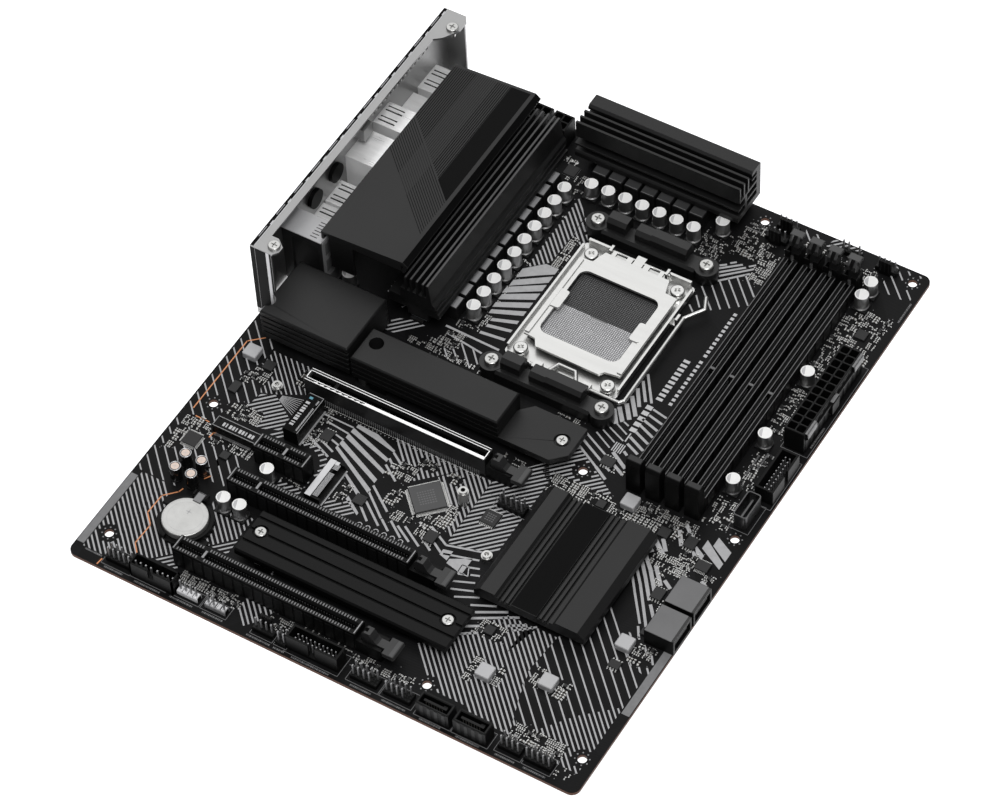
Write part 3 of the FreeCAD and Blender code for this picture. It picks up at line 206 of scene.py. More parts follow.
# name: colour, roughness, and what differs from surface()'s own values
LOOKS = {
    # the CAD nodes
    "board_laminate": (0.0035, 0.46, dict(tone=0.3, tone_scale=45, grain=0.12, grain_scale=1500,
                                          specular=0.10)),
    "socket_plastic": (0.006, 0.5, dict(grain=0.1, specular=0.25)),
    "contact_gold": ((0.42, 0.40, 0.36), 0.36, dict(metal=0.9, tone=0.1)),
    "socket_steel": ((0.60, 0.60, 0.59), 0.33, dict(metal=1.0, tone=0.05, tone_scale=30, grain=0.05,
                                                    grain_scale=700, stretch=(1, 12, 1))),
    "black_steel": (0.006, 0.4, dict(specular=0.3)),
    "black_plastic": (0.003, 0.44, dict(grain=0.10, specular=0.13)),
    "screw_nickel": ((0.50, 0.50, 0.49), 0.3, dict(metal=1.0, tone=0.1)),
    "black_aluminium": (0.006, 0.44, dict(tone=0.06, tone_scale=25, grain=0.16, grain_scale=2200,
                                          specular=0.38)),
    "thermal_pad": ((0.30, 0.33, 0.36), 0.8, {}),
    "choke_ferrite": (0.008, 0.42, dict(tone=0.1, specular=0.3)),
    "capacitor_can": ((0.46, 0.46, 0.46), 0.3, dict(metal=0.95, tone=0.07)),
    "audio_capacitor": (0.006, 0.2, dict(specular=0.6)),
    "port_shell": ((0.93, 0.93, 0.93), 0.3, dict(metal=0.4, tone=0.08, stretch=(1, 6, 1))),
    "battery_steel": ((0.50, 0.50, 0.49), 0.36, dict(metal=0.75, tone=0.08, tone_scale=220,
                                                     grain=0.22, grain_scale=1800)),
    "jack_plastic": (0.012, 0.4, {}),
    "button_plastic": (0.02, 0.35, {}),
    "shield_steel": ((0.34, 0.34, 0.34), 0.38, dict(metal=0.9, tone=0.08, tone_scale=30)),
    "chip_epoxy": (0.016, 0.5, dict(tone=0.14, grain=0.12, specular=0.35)),
    # CAD nodes that differ from the rest of their kind
    "latch_plastic": (0.020, 0.42, dict(grain=0.1)),
    "inductor_top": (0.44, 0.42, dict(metal=0.2, tone=0.05)),
    "bracket_plastic": (0.005, 0.40, dict(grain=0.1)),
    "lower_cover": (0.003, 0.44, dict(grain=0.12, specular=0.16)),
    "slot_shell_dark": (0.022, 0.35, dict(metal=0.4, specular=0.3)),
    "header_shell": (0.09, 0.3, dict(metal=0.9)),
    "pin_tin": (0.30, 0.34, dict(metal=0.7)),
    "contact_base": (0.03, 0.5, {}),
    # print and small parts
    "silkscreen_ink": (0.41, 0.6, dict(tone=0.07, tone_scale=500, grain=0.05, specular=0.2)),
    "silkscreen_edge": (0.20, 0.6, dict(tone=0.07, tone_scale=500, specular=0.2)),
    "silkscreen_white": (0.50, 0.6, dict(tone=0.08, tone_scale=500)),
    "trace_orange": ((0.60, 0.24, 0.10), 0.4, dict(metal=0.2, tone=0.15, tone_scale=400)),
    "tin_plate": ((0.62, 0.62, 0.61), 0.34, dict(metal=0.6, tone=0.15, tone_scale=900)),
    "via_ring": (0.24, 0.4, dict(metal=0.4, tone=0.2, tone_scale=900)),
    "passive_dark": (0.018, 0.45, dict(tone=0.3, tone_scale=700, specular=0.3)),
    "passive_grey": ((0.105, 0.097, 0.088), 0.5, dict(tone=0.3, tone_scale=700)),
    "chip_print": (0.11, 0.6, {}),
    "chip_face": (0.055, 0.5, {}),
    # painted highlight on the tops of the capacitor cans
    "can_lid_highlight": ((0.84, 0.84, 0.83), 0.36, dict(tone=0.05)),
    "can_mark": (0.50, 0.5, {}),
    "can_base": (0.010, 0.5, dict(specular=0.25)),
    "audio_top": ((0.66, 0.54, 0.47), 0.35, dict(metal=0.4, tone=0.08)),
    # painted light on the tops of the rear chokes
    "choke_lit_top_paint": (0.27, 0.45, dict(tone=0.1, grain=0.12)),
    # painted shade on the tops of the upper chokes
    "choke_shaded_top_paint": (0.035, 0.45, dict(tone=0.1, grain=0.12)),
    "choke_edge": (0.24, 0.4, dict(metal=0.2)),
    "solder": ((0.66, 0.66, 0.65), 0.28, dict(metal=1.0, tone=0.1)),
    # slots, headers and sockets
    # pale grey; on the slot ribs it is a painted highlight
    "pale_grey_and_rib_highlight": (0.17, 0.4, dict(tone=0.2, tone_scale=800)),
    # painted highlight on the raised lines and keys of the memory slots
    "memory_ridge_highlight": (0.11, 0.4, dict(tone=0.2, tone_scale=800)),
    "contact_blade": (0.10, 0.36, dict(metal=0.7, tone=0.1)),
    "moulded_rim": (0.26, 0.4, dict(tone=0.2, tone_scale=800)),
    "plastic_ridge": (0.008, 0.38, dict(tone=0.2, specular=0.2)),
    "tower_face": (0.016, 0.45, dict(specular=0.4)),
    # painted highlight on the latch tops
    "latch_face": (0.05, 0.4, dict(tone=0.15, grain=0.1)),
    "white_plastic": (0.74, 0.45, dict(tone=0.05)),
    "light_metal": (0.56, 0.36, dict(metal=0.6, tone=0.08)),
    "gloss_black": (0.003, 0.12, dict(tone=0.1, grain=0.0)),
    # plain matte black; on the chipset heat sink and the cover bevel it is painted shade
    "strip_black": (0.003, 0.45, dict(tone=0.1, specular=0.05)),
    "drive_cover": (0.13, 0.5, dict(grain=0.12)),
    "socket_contact": (0.40, 0.36, dict(metal=0.7)),
    "label_blue": ((0.10, 0.30, 0.38), 0.5, {}),
    # lit and shaded copies of one contact colour and one tray colour: painted light and painted shade
    "socket_pin_painted_lit": (0.80, 0.4, dict(metal=0.4, tone=0.1)),
    "socket_pin_painted_shade": (0.17, 0.4, dict(metal=0.4, tone=0.1)),
    "tray_painted_lit": (0.20, 0.5, dict(tone=0.1, tone_scale=1200)),
    "tray_painted_shade": (0.02, 0.5, dict(tone=0.1, tone_scale=1200)),
    # covers, ports and cell
    "engraved_line": (0.003, 0.75, dict(specular=0.1)),
    # painted highlight on the rear heat sink's fin tops
    "fin_top_highlight": (0.07, 0.5, dict(specular=0.4)),
    "port_tongue": ((0.03, 0.05, 0.16), 0.45, {}),
    "jack_ring_0": ((0.10, 0.42, 0.16), 0.4, {}),
    "jack_ring_1": ((0.08, 0.24, 0.55), 0.4, {}),
    "jack_ring_2": ((0.62, 0.22, 0.26), 0.4, {}),
    "jack_back": (0.20, 0.5, {}),
    "jack_panel": (0.08, 0.5, {}),
    "jack_lid": (0.40, 0.5, dict(metal=0.3, tone=0.08)),
    "cell_mark": (0.40, 0.45, dict(metal=0.6)),
    "clip_steel": (0.20, 0.35, dict(metal=0.7)),
}
MATERIALS = {name: surface(name, colour, rough, **more)
             for name, (colour, rough, more) in LOOKS.items()}
add_traces(MATERIALS["board_laminate"])
paint_outside(MATERIALS["shield_steel"])


# ------------------------------------------------------------------ mesh making
INK_LOW, INK_HIGH = 0.0, 0.03


def clip(polygon, nx, ny, limit):
    """The part of a convex polygon where nx*x + ny*y <= limit."""
    kept = []
    for i, (ax, ay) in enumerate(polygon):
        bx, by = polygon[(i + 1) % len(polygon)]
        da = nx * ax + ny * ay - limit
        db = nx * bx + ny * by - limit
        if da <= 0:
            kept.append((ax, ay))
        if da * db < 0:
            t = da / (da - db)
            kept.append((ax + t * (bx - ax), ay + t * (by - ay)))
    return kept


def area(polygon):
    """Area of an outline, positive where it runs anticlockwise."""
    following = polygon[1:] + polygon[:1]
    return sum(ax * by - bx * ay for (ax, ay), (bx, by) in zip(polygon, following)) / 2


class Shape:
    """Closed solids in board millimetres, gathered into one mesh object.

    Each solid has a mark: the place of its material in the list that make() is given.
    """

    def __init__(self):
        self.points, self.faces, self.marks = [], [], []

    def rings(self, rings, mark=0, marks=None):
        """Skin a stack of equal rings and close both ends."""
        base, count = len(self.points), len(rings[0])
        marks = marks or [mark] * len(rings)
        for ring in rings:
            self.points.extend(ring)
        self.faces.append([base + i for i in reversed(range(count))])
        self.marks.append(marks[0])
        for k in range(len(rings) - 1):
            low, high = base + k * count, base + (k + 1) * count
            for i in range(count):
                j = (i + 1) % count
                self.faces.append([low + i, low + j, high + j, high + i])
                self.marks.append(marks[k])
        last = base + (len(rings) - 1) * count
        self.faces.append([last + i for i in range(count)])
        self.marks.append(marks[-1])

    def prism(self, outline, z0=INK_LOW, z1=INK_HIGH, mark=0):
        if len(outline) < 3:
            return
        if area(outline) < 0:
            outline = outline[::-1]
        self.rings([[(x, y, z) for x, y in outline] for z in (z0, z1)], mark)

    def block(self, x0, y0, z0, x1, y1, z1, mark=0, edge=0.0, turn=0.0, top=None):
        """Box with its top edges chamfered by edge, turned about its own centre."""
        cx, cy = (x0 + x1) / 2, (y0 + y1) / 2
        w, d = (x1 - x0) / 2, (y1 - y0) / 2

        def ring(inset, z):
            corners = ((inset - w, inset - d), (w - inset, inset - d),
                       (w - inset, d - inset), (inset - w, d - inset))
            return [(*swing(cx, cy, u, v, turn), z) for u, v in corners]

        if edge:
            self.rings([ring(0, z0), ring(0, z1 - edge), ring(edge, z1)],
                       marks=[mark, mark, mark if top is None else top])
        else:
            self.rings([ring(0, z0), ring(0, z1)], mark)

    def pad(self, x, y, half_x, half_y, z0, z1, mark=0, edge=0.0, turn=0.0):
        """Box centred over a point."""
        self.block(x - half_x, y - half_y, z0, x + half_x, y + half_y, z1, mark, edge, turn)

    def print_box(self, x0, y0, x1, y1, mark=0):
        self.block(x0, y0, INK_LOW, x1, y1, INK_HIGH, mark)

    def turned(self, x, y, profile, segments=24, marks=None, mark=0):
        """Solid of revolution about a vertical line; profile is (radius, z), bottom first."""
        turns = [360 * k / segments for k in range(segments)]
        self.rings([[(*polar(x, y, max(radius, 0.001), turn), z) for turn in turns]
                    for radius, z in profile], mark, marks)

    def dot(self, x, y, radius, z0=INK_LOW, z1=INK_HIGH, segments=12):
        self.turned(x, y, [(radius, z0), (radius, z1)], segments)

    def stroke(self, x0, y0, x1, y1, width, z0=INK_LOW, z1=INK_HIGH, mark=0):
        """Flat strip from one point to another."""
        dx, dy = x1 - x0, y1 - y0
        length = math.hypot(dx, dy)
        ux, uy = -dy / length * width / 2, dx / length * width / 2
        self.prism([(x0 - ux, y0 - uy), (x1 - ux, y1 - uy), (x1 + ux, y1 + uy),
                    (x0 + ux, y0 + uy)], z0, z1, mark)

    def path(self, points, width, z0=INK_LOW, z1=INK_HIGH, mark=0):
        for start, end in zip(points, points[1:]):
            self.stroke(*start, *end, width, z0, z1, mark)

    def make(self, name, materials, slot, body=ROOT, smooth=False, bevel=0.0):
        """Turn the solids into one object; materials are names, in the order of the marks."""
        mesh = bpy.data.meshes.new(name)
        mesh.from_pydata([at(*p) for p in self.points], [], self.faces)
        for material in materials:
            mesh.materials.append(MATERIALS[material])
        mesh.polygons.foreach_set("material_index", self.marks)
        mesh.update()
        piece = bpy.data.objects.new(name, mesh)
        bpy.context.scene.collection.objects.link(piece)
        if smooth:
            mesh.shade_smooth()
            mesh.set_sharp_from_angle(angle=math.radians(35))
        if bevel:
            round_edges(piece, bevel)
        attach(piece, body)
        return piece


def round_edges(piece, width):
    """Small rounded edges, in millimetres, on a mesh with clean corners."""
    weld = piece.modifiers.new("weld", "WELD")
    weld.merge_threshold = 1e-6
    bevel = piece.modifiers.new("round_edges", "BEVEL")
    bevel.width = width * MM
    bevel.segments = 2
    bevel.limit_method = "ANGLE"
    bevel.angle_limit = math.radians(32)
    bevel.use_clamp_overlap = True
    bevel.harden_normals = False


# ------------------------------------------------------------------ board print
HOLES = [(x, y) for y in (16.51, 140.97) for x in (10.16, 165.10, 237.49)]
HOLES += [(33.02, 298.45), (165.10, 298.45), (237.49, 298.45), (10.16, 95.25)]
COOLER_HOLES = [(x, y) for y in (168.5, 258.5) for x in (104.2, 158.2)]
# holes that print keeps clear of, each with its radius
ROUNDS = [(x, y, 4.3) for x, y in HOLES] + [(x, y, 5.4) for x, y in COOLER_HOLES]
SMALLEST_STRIP = 0.15
# the ink is this much narrower than the width written for its zone
INK_SHRINK = 0.12

# rectangles of small parts, kept clear of print: x0, y0, x1, y1, parts per 10 square mm
CLUSTERS = [
    (17.5, 93, 33, 101, 2.6), (15, 114, 24, 122, 2.4), (3.5, 79.5, 18, 86, 2.8),
    (3.5, 66, 8.6, 79, 2), (28, 76.5, 40, 82, 2.4), (20.4, 76, 26, 81, 2), (54.5, 96, 60, 106.5, 3),
    (55, 107, 59, 118, 2.6), (80.2, 77, 86.5, 88, 3), (57, 74.6, 68, 79.8, 1.8),
    (88, 85.6, 92, 88, 2), (100, 86, 106.5, 96, 3.2), (97, 99.5, 105.5, 108.5, 2.6),
    (107, 80, 118, 86.5, 2.6), (103, 109, 112, 114, 2.2), (117.5, 108, 124, 113.5, 2.2),
    (120, 78, 131, 90, 2.6), (124.5, 89, 131, 99, 2.6), (93, 99, 97.5, 107, 1.8),
    (155.6, 124, 182, 134.5, 3.4), (182, 127, 206, 133, 3.2), (194.5, 133, 206, 140, 2.6),
    (205, 127, 222, 140, 2.4), (210, 112, 229, 121.5, 2.8), (222, 113, 230, 127, 2.2),
    (227.5, 117, 240, 119.5, 2.6), (218.5, 104, 221.5, 112, 2.2), (226.8, 92, 229.6, 99.5, 2),
    (228.4, 66, 238, 78, 3.2), (211.4, 36, 216, 46, 2.6), (199.6, 36, 203.6, 46, 2.4),
    (175, 26, 179, 39, 2.4), (186.6, 29, 189.6, 39, 2), (168, 48, 180, 56, 2.4),
    (206, 11, 230, 19, 3), (229, 4, 238, 9, 1.4), (48, 10, 78, 16.6, 3.2),
    (46, 15.6, 60, 18.5, 1.6), (92, 9, 104, 17, 2.6), (106, 14.6, 131, 18, 2.4),
    (131.5, 11, 160, 17.4, 2.6), (63, 30.6, 70, 35, 2), (84.6, 164.4, 104, 168, 2.2),
    (63.5, 164.6, 85, 169, 2.6), (72, 169, 85, 180, 3), (77.4, 183.6, 86, 186.4, 2.4),
    (86, 183.4, 88.6, 193.6, 3), (96, 231, 100.2, 250, 3.4), (83.6, 188, 87.4, 276, 1.1),
    (68, 276.5, 86, 290, 2.2), (146, 268, 158, 290, 2.2), (158.6, 284.4, 175, 296, 2),
    (140, 160, 152, 167, 2.6), (173.6, 265.2, 181.4, 276, 3), (160, 276, 181.5, 283.8, 2.6),
    (218.6, 196, 228.6, 226, 2), (218.4, 232, 228.6, 275, 1.8), (228, 247, 240, 275, 2.6),
    (219, 288, 223, 296, 1.6), (205, 286.5, 221, 296.5, 2.2), (182, 287, 204, 296.6, 1.6),
    (219, 142, 232, 158, 1.8), (223.5, 166, 232, 188, 1.6), (213, 142, 218, 157, 2),
    (20, 181, 42, 200, 1.6), (42, 166.5, 52, 183, 1.2), (172, 144, 182, 150, 2),
    (132, 128, 142, 134.6, 1.2), (60, 121, 66, 126.5, 1.2), (34.5, 121, 41.5, 128.5, 2),
    (12, 111, 16, 118, 1.6),
]


def gaps_on(px, py, dx, dy, pad):
    """Intervals of a line that fall in holes or in rectangles kept clear of print."""
    found = []
    for hx, hy, clear in ROUNDS:
        along = (hx - px) * dx + (hy - py) * dy
        off = abs((hx - px) * dy - (hy - py) * dx)
        reach = clear + pad
        if off < reach:
            half = math.sqrt(reach ** 2 - off ** 2)
            found.append((along - half, along + half))
    for x0, y0, x1, y1, _ in CLUSTERS:
        low, high = -1e9, 1e9
        for p, d, a, b in ((px, dx, x0, x1), (py, dy, y0, y1)):
            if abs(d) < 1e-9:
                if not a < p < b:
                    low, high = 1, 0
                continue
            t0, t1 = sorted(((a - p) / d, (b - p) / d))
            low, high = max(low, t0), min(high, t1)
        if low < high:
            found.append((low, high))
    return sorted(found)


def clip_to(polygon, outline):
    """The part of a convex polygon inside a convex outline."""
    if area(outline) < 0:
        outline = outline[::-1]
    for (ax, ay), (bx, by) in zip(outline, outline[1:] + outline[:1]):
        ex, ey = by - ay, ax - bx
        polygon = clip(polygon, ex, ey, ex * ax + ey * ay)
        if len(polygon) < 3:
            return []
    return polygon


def stripes(shape, zone, direction, pitch, width, offset):
    """Parallel strips of ink inside a convex zone."""
    dx, dy = math.cos(math.radians(direction)), math.sin(math.radians(direction))
    nx, ny = -dy, dx
    if nx < 0:
        nx, ny = -nx, -ny
    across = [nx * x + ny * y for x, y in zone]
    along = [dx * x + dy * y for x, y in zone]
    step = math.ceil((min(across) - offset) / pitch)
    while offset + step * pitch < max(across):
        middle = offset + step * pitch
        px, py = nx * middle, ny * middle
        cursor = min(along) - 1
        for low, high in gaps_on(px, py, dx, dy, width / 2) + [(max(along) + 1, 1e9)]:
            if low > cursor:
                corners = [(px + dx * t + nx * s, py + dy * t + ny * s)
                           for t, s in ((cursor, -width / 2), (low, -width / 2),
                                        (low, width / 2), (cursor, width / 2))]
                piece = clip_to(corners, zone)
                if piece and abs(area(piece)) > SMALLEST_STRIP:
                    shape.prism(piece)
            cursor = max(cursor, high)
        step += 1


FINE, OPEN = 2.01, 3.98
# convex zone, direction in degrees, pitch, width and offset of its stripes
STRIPE_ZONES = [
    ([(4.2, 6), (15, 6), (15, 50), (4.2, 50)], -45, FINE, 0.85, 1.50),
    ([(15, 11.5), (29, 11.5), (33, 14.7), (39.5, 21), (39.5, 27), (15, 51)], -45, FINE, 0.85, 1.60),
    ([(33.6, 14.7), (45, 14.7), (45, 15.6), (39.9, 20.6)], 45, FINE, 0.9, 0.3),
    ([(44, 36), (47.5, 31.5), (50, 31.5), (58.6, 40.5), (58.6, 52), (38, 54)], -45, FINE, 0.85, 1.25),
    ([(50.6, 31.5), (59, 31.5), (59, 40)], 45, FINE, 0.85, 0.3),
    ([(0.8, 50.6), (21, 50.6), (12, 66), (0.8, 66)], -45, OPEN, 0.75, 2.2),
    ([(0.8, 66), (30, 66), (34, 82), (0.8, 82)], -45, OPEN, 0.75, 2.2),
    ([(28, 60), (38, 60), (44, 70), (28, 82)], -45, OPEN, 0.75, 2.2),
    ([(0.8, 86), (16, 86), (16, 148), (0.8, 148)], -45, OPEN, 0.75, 1.5),
    ([(16, 100), (23.2, 101.5), (24.5, 110), (16, 121)], -45, OPEN, 0.75, 1.5),
    ([(17, 122), (24.5, 110), (31, 112.5), (43, 119), (43, 132), (17, 132)], -45, FINE, 0.7, 1),
    ([(23.4, 101.5), (25, 109.4), (31, 112), (43, 104), (43, 97), (33.4, 93), (30, 93)],
     45, FINE, 0.95, 1.20),
    ([(40, 93), (46, 93), (46, 97), (43, 97)], 45, FINE, 0.9, 1.2),
    ([(57, 71.6), (68, 71.6), (68.4, 80), (57, 76)], 45, 2.05, 0.9, 0.42),
    ([(79.9, 71.6), (92, 71.6), (94.4, 74.4), (87.4, 80.6), (79.9, 77)], 45, 2.03, 0.9, 0.27),
    ([(87.8, 117.6), (97.4, 106.6), (105.4, 101), (113, 108.4), (122, 117.6)], -45, FINE, 0.95, 0.65),
    ([(122, 117.6), (114, 108.4), (125.6, 98), (134.9, 98), (134.9, 117.6)], -45, FINE, 0.95, 0.60),
    ([(125.6, 98), (127.5, 87), (134.9, 84.6), (134.9, 98)], -45, FINE, 0.95, 0.60),
    ([(135.1, 81), (150, 84), (155.8, 88), (155.8, 109), (135.1, 112)], 45, FINE, 0.95, 0.88),
    ([(135.1, 112), (155.8, 108), (155.8, 130), (150, 138), (135.1, 121)], 45, FINE, 0.9, 0.88),
    ([(150, 133), (156, 128), (176, 128), (182, 136), (157, 151.5), (150, 146)], 45, FINE, 0.95, 0.95),
    ([(150, 31), (168, 15.4), (185, 15.4), (185, 46), (166, 46), (163, 43.5)], -45, FINE, 0.85, 1.23),
    ([(166, 46), (185, 46), (189.4, 62), (176, 62), (168, 52)], -45, FINE, 0.85, 1.29),
    ([(185, 12), (206.4, 12), (200.4, 30), (185, 30)], -45, FINE, 0.85, 1.29),
    ([(185, 30), (200.4, 30), (197.2, 44), (185, 44)], -45, FINE, 0.85, 1.29),
    ([(185, 44), (197.2, 44), (199, 62.3), (189.6, 62.3), (185, 58)], -45, FINE, 0.85, 1.29),
    ([(206.4, 12), (232, 9.4), (239.4, 9.4), (239.4, 62), (209.5, 91.5), (199, 62.3), (197, 40)],
     -45, OPEN, 0.8, 2.5),
    # every second line is added below this edge, so the pattern doubles toward the corner
    ([(215, 19.8), (232, 9.4), (239.4, 9.4), (239.4, 46), (225, 33)], -45, OPEN, 0.8, 2.5 + OPEN / 2),
    ([(84, 227.6), (88, 225.6), (95.4, 232.6), (95.8, 250), (95, 262), (86, 274), (84, 272)],
     -45, 1.99, 0.9, 0.01),
    ([(95.8, 250.2), (103.4, 246.4), (103.4, 250.4), (95.6, 263)], -45, 1.99, 0.9, 0.01),
    ([(47, 165.6), (58, 165.6), (68, 175.6), (60, 175.6), (52, 173)], 45, 2.08, 0.9, 1.34),
    ([(40, 184), (52, 178), (56, 190), (44, 199)], 45, 2.08, 0.9, 1.34),
    ([(73.4, 16.6), (92, 16.6), (89, 9.6), (84.4, 4.2), (76.8, 11.6)], -45, FINE, 0.85, 0.9),
    ([(195, 299), (210.6, 299), (210.6, 304.4), (196.5, 304.4)], 45, 1.99, 0.9, 0.36),
    ([(226, 288), (241, 288), (241, 303.6), (226, 303.6)], -45, OPEN, 0.8, 1.2),
    ([(186, 296.6), (200, 299), (190, 303), (183, 303)], -45, OPEN, 0.8, 1.2),
    ([(222, 79), (231, 79), (240, 66), (240, 63), (228, 66)], -48, 3.1, 0.9, 1.75),
]

# single strokes: x0, y0, x1, y1, width
STROKES = [
    (54.6, 113.5, 69.2, 113.3, 0.75), (54.6, 111.1, 69.2, 109.5, 0.8),
    (59.6, 107.6, 69, 105.7, 0.8), (61.4, 104.3, 68.8, 102.2, 0.9), (58.6, 101.9, 68.4, 98.1, 0.9),
    (54.6, 100.6, 68, 94.9, 1), (90.9, 110.4, 97.2, 106.4, 1), (91, 106.9, 95.8, 103.2, 1),
    (91.4, 103.3, 99.6, 97.8, 1), (92.7, 91.4, 105, 82.6, 1), (92.7, 87.8, 104.6, 78.4, 1),
    (92.8, 84.2, 105.6, 74.6, 1), (93.2, 80.2, 100.2, 74.3, 1), (105, 78.3, 110.6, 74.2, 1),
    (108.8, 79.4, 116.8, 73.8, 1), (112.6, 78.6, 121, 73.8, 1), (115.4, 79.9, 125.8, 73.8, 1),
    (124.4, 78.3, 131, 74.3, 1), (126.6, 80.8, 135.4, 75.6, 1), (125, 85.2, 135.2, 80, 1),
    (119.6, 84.8, 123.4, 82.6, 1), (135.2, 79.9, 150.4, 84.2, 0.9), (136.5, 75.6, 151.4, 79.9, 0.9),
    (149.4, 74.8, 153.8, 76.3, 0.9), (152, 71.9, 155.7, 73.3, 0.9), (144.8, 68.9, 149.6, 70.8, 0.9),
    (146.8, 65.5, 155.8, 69.3, 0.9), (148.4, 61.9, 157.6, 65.5, 0.9),
    (151.8, 59.2, 161.2, 63.9, 0.9), (159.8, 58.9, 169.6, 63.6, 1), (162.4, 56.2, 175.2, 63.4, 1.2),
    (162.4, 52.7, 180.6, 63.4, 1.2), (163.2, 48.6, 168.6, 51.8, 1.2),
    (178.4, 57.4, 184.8, 61.3, 1.2), (163.4, 44.4, 169.8, 48.6, 1.2),
    (181.4, 56.3, 189.2, 62.8, 0.9), (210, 104.2, 215, 97.4, 1), (215, 97.4, 224.6, 84.8, 1),
    (208.2, 110.2, 215, 102, 1.2), (215, 102, 227.6, 84.6, 1.2), (208.2, 114.4, 215, 106.2, 1.5),
    (215, 106.2, 222.2, 96.8, 1.5), (209, 116.6, 215, 110.4, 1.7), (215, 110.4, 221.8, 101.8, 1.7),
    (215.8, 113.4, 222.6, 105.4, 1.7), (223.6, 95.2, 228, 90, 1.4), (228.6, 86.6, 232.2, 79.4, 1.3),
    (224.6, 83.4, 227.8, 78.4, 1), (227.4, 96.4, 230.2, 92.6, 1.3), (222.6, 108.6, 226.8, 106, 1.6),
    (228.6, 99.8, 230.4, 96.8, 1.2), (206.4, 126.8, 215.6, 119.6, 2),
    (207.4, 121.6, 211, 118.6, 1.9), (211.6, 126.8, 215.8, 121.6, 1.7),
    (215.4, 134, 220, 127.2, 1.8), (216.4, 138, 221.6, 133.2, 1.6),
    (224.8, 128.6, 227.2, 125.4, 1.6), (236, 115.6, 239.4, 113.6, 1.6),
    (231.6, 76.4, 235, 72.6, 0.9), (236.6, 73.4, 239.4, 69.6, 0.9), (163, 199.2, 172.2, 186.2, 1.1),
    (163, 195, 169.6, 185.6, 1.3), (163, 190.4, 168.6, 182, 1.6), (163, 185.6, 169.8, 176.8, 1.8),
    (163, 181, 168.4, 174, 1.9), (161.2, 178, 166.4, 171.6, 1.9), (159.8, 176, 164.6, 169.4, 1.9),
    (166.6, 172.1, 169.8, 170.9, 0.7), (165, 169.6, 171.4, 166.6, 0.7),
    (163, 166.6, 171.8, 162.9, 0.7), (161.4, 164, 169, 160.5, 0.7), (159.6, 161.6, 168.6, 157, 0.7),
    (156.4, 159, 170.4, 152.2, 0.9), (170.4, 152.2, 180.4, 147.2, 1.4),
    (156.6, 155.5, 174.8, 146.3, 1.1), (156.6, 152, 168.6, 145.5, 1),
    (168.6, 145.5, 175.4, 141.6, 1.3), (174.4, 183.7, 181.7, 182.3, 1),
    (174.4, 180.2, 181.7, 178.5, 1.1), (173, 177, 181.7, 174.5, 1.2),
    (174, 173.6, 181.7, 170.5, 1.2), (174, 169.7, 181.7, 166.5, 1.2),
    (173.2, 166.2, 181.7, 162.4, 1.3), (174, 162.5, 180.6, 159.7, 1.2),
    (174.8, 158.3, 177, 157, 1.2), (171, 155.7, 179.8, 150.6, 1.6),
    (164.4, 259.1, 175.5, 247.9, 0.7), (167, 262.1, 178.7, 250.5, 0.7),
    (170, 264.6, 181.7, 252.9, 0.7), (172.4, 267.6, 181.7, 258.4, 0.8),
    (162.4, 255.6, 172.3, 245.4, 0.7), (159, 252.9, 169.1, 243.1, 0.7),
    (159.4, 247.3, 164, 242, 0.7), (159.4, 241.3, 162.6, 238.5, 0.7), (160, 266.8, 162.6, 268.9, 1),
    (160.5, 265.2, 168.6, 272.1, 1), (161.4, 263.1, 170.6, 271.3, 1), (162.4, 261.2, 173.8, 272, 1),
    (163.6, 258.9, 173.8, 269, 1), (163.4, 270.2, 165.6, 272.1, 0.9),
    (171.4, 272.4, 173.8, 274.6, 0.9), (85, 175, 95.2, 164.8, 0.7), (91, 174.6, 97, 168.3, 0.7),
    (83.4, 170.6, 89.6, 164.8, 0.7), (80, 169, 84.2, 164.8, 0.7), (77, 176.8, 95.4, 174.4, 0.9),
    (74, 180.1, 101, 179.5, 1.1), (10, 164, 2, 176, 0.6),
]

# tapering bars of ink: x0, low and high y there, x1, low and high y there
BARS = [
    (70, 114.1, 115.9, 80, 112.6, 115.4), (80, 112.6, 115.4, 91, 110.3, 111.5),
    (69.3, 110.9, 113.3, 90.9, 104.7, 106.4), (69, 107.3, 109.8, 93, 98.5, 100.2),
    (68.5, 103.2, 105.6, 92.4, 92.7, 94.9), (68.2, 100.4, 102, 93, 86.7, 89),
    (77.4, 91.4, 92.6, 93.3, 81, 83.3), (86.4, 79.8, 81.8, 94.9, 74.8, 76.2),
    (86.4, 218, 223.6, 94, 223.4, 230.9), (94, 223.4, 230.9, 100.3, 227.6, 231),
    (86.2, 212.4, 216.2, 100.3, 222.2, 226.2), (85.6, 207.6, 211.4, 100.3, 216.8, 220.8),
    (86, 203.6, 207, 100.3, 211.2, 215.2), (86, 198.8, 201.8, 100.3, 205.9, 209.3),
    (86.4, 195, 197.4, 100.3, 200.9, 203.7), (89.2, 191.6, 193.4, 100.3, 195.6, 197.6),
    (89.2, 187.9, 189.6, 100.3, 190.3, 191.9), (88.6, 183.4, 184.9, 100.3, 184.9, 186.3),
    (231.4, 133.6, 138.5, 239.6, 128.8, 134.2), (228, 130.3, 135.2, 239.4, 124.2, 127.6),
    (225.2, 127.8, 130.4, 230.6, 124.8, 127.4), (135.4, 74.6, 77.6, 139.6, 73.4, 78.6),
    (140.2, 72.2, 74.6, 148.6, 70.4, 79.4),
]


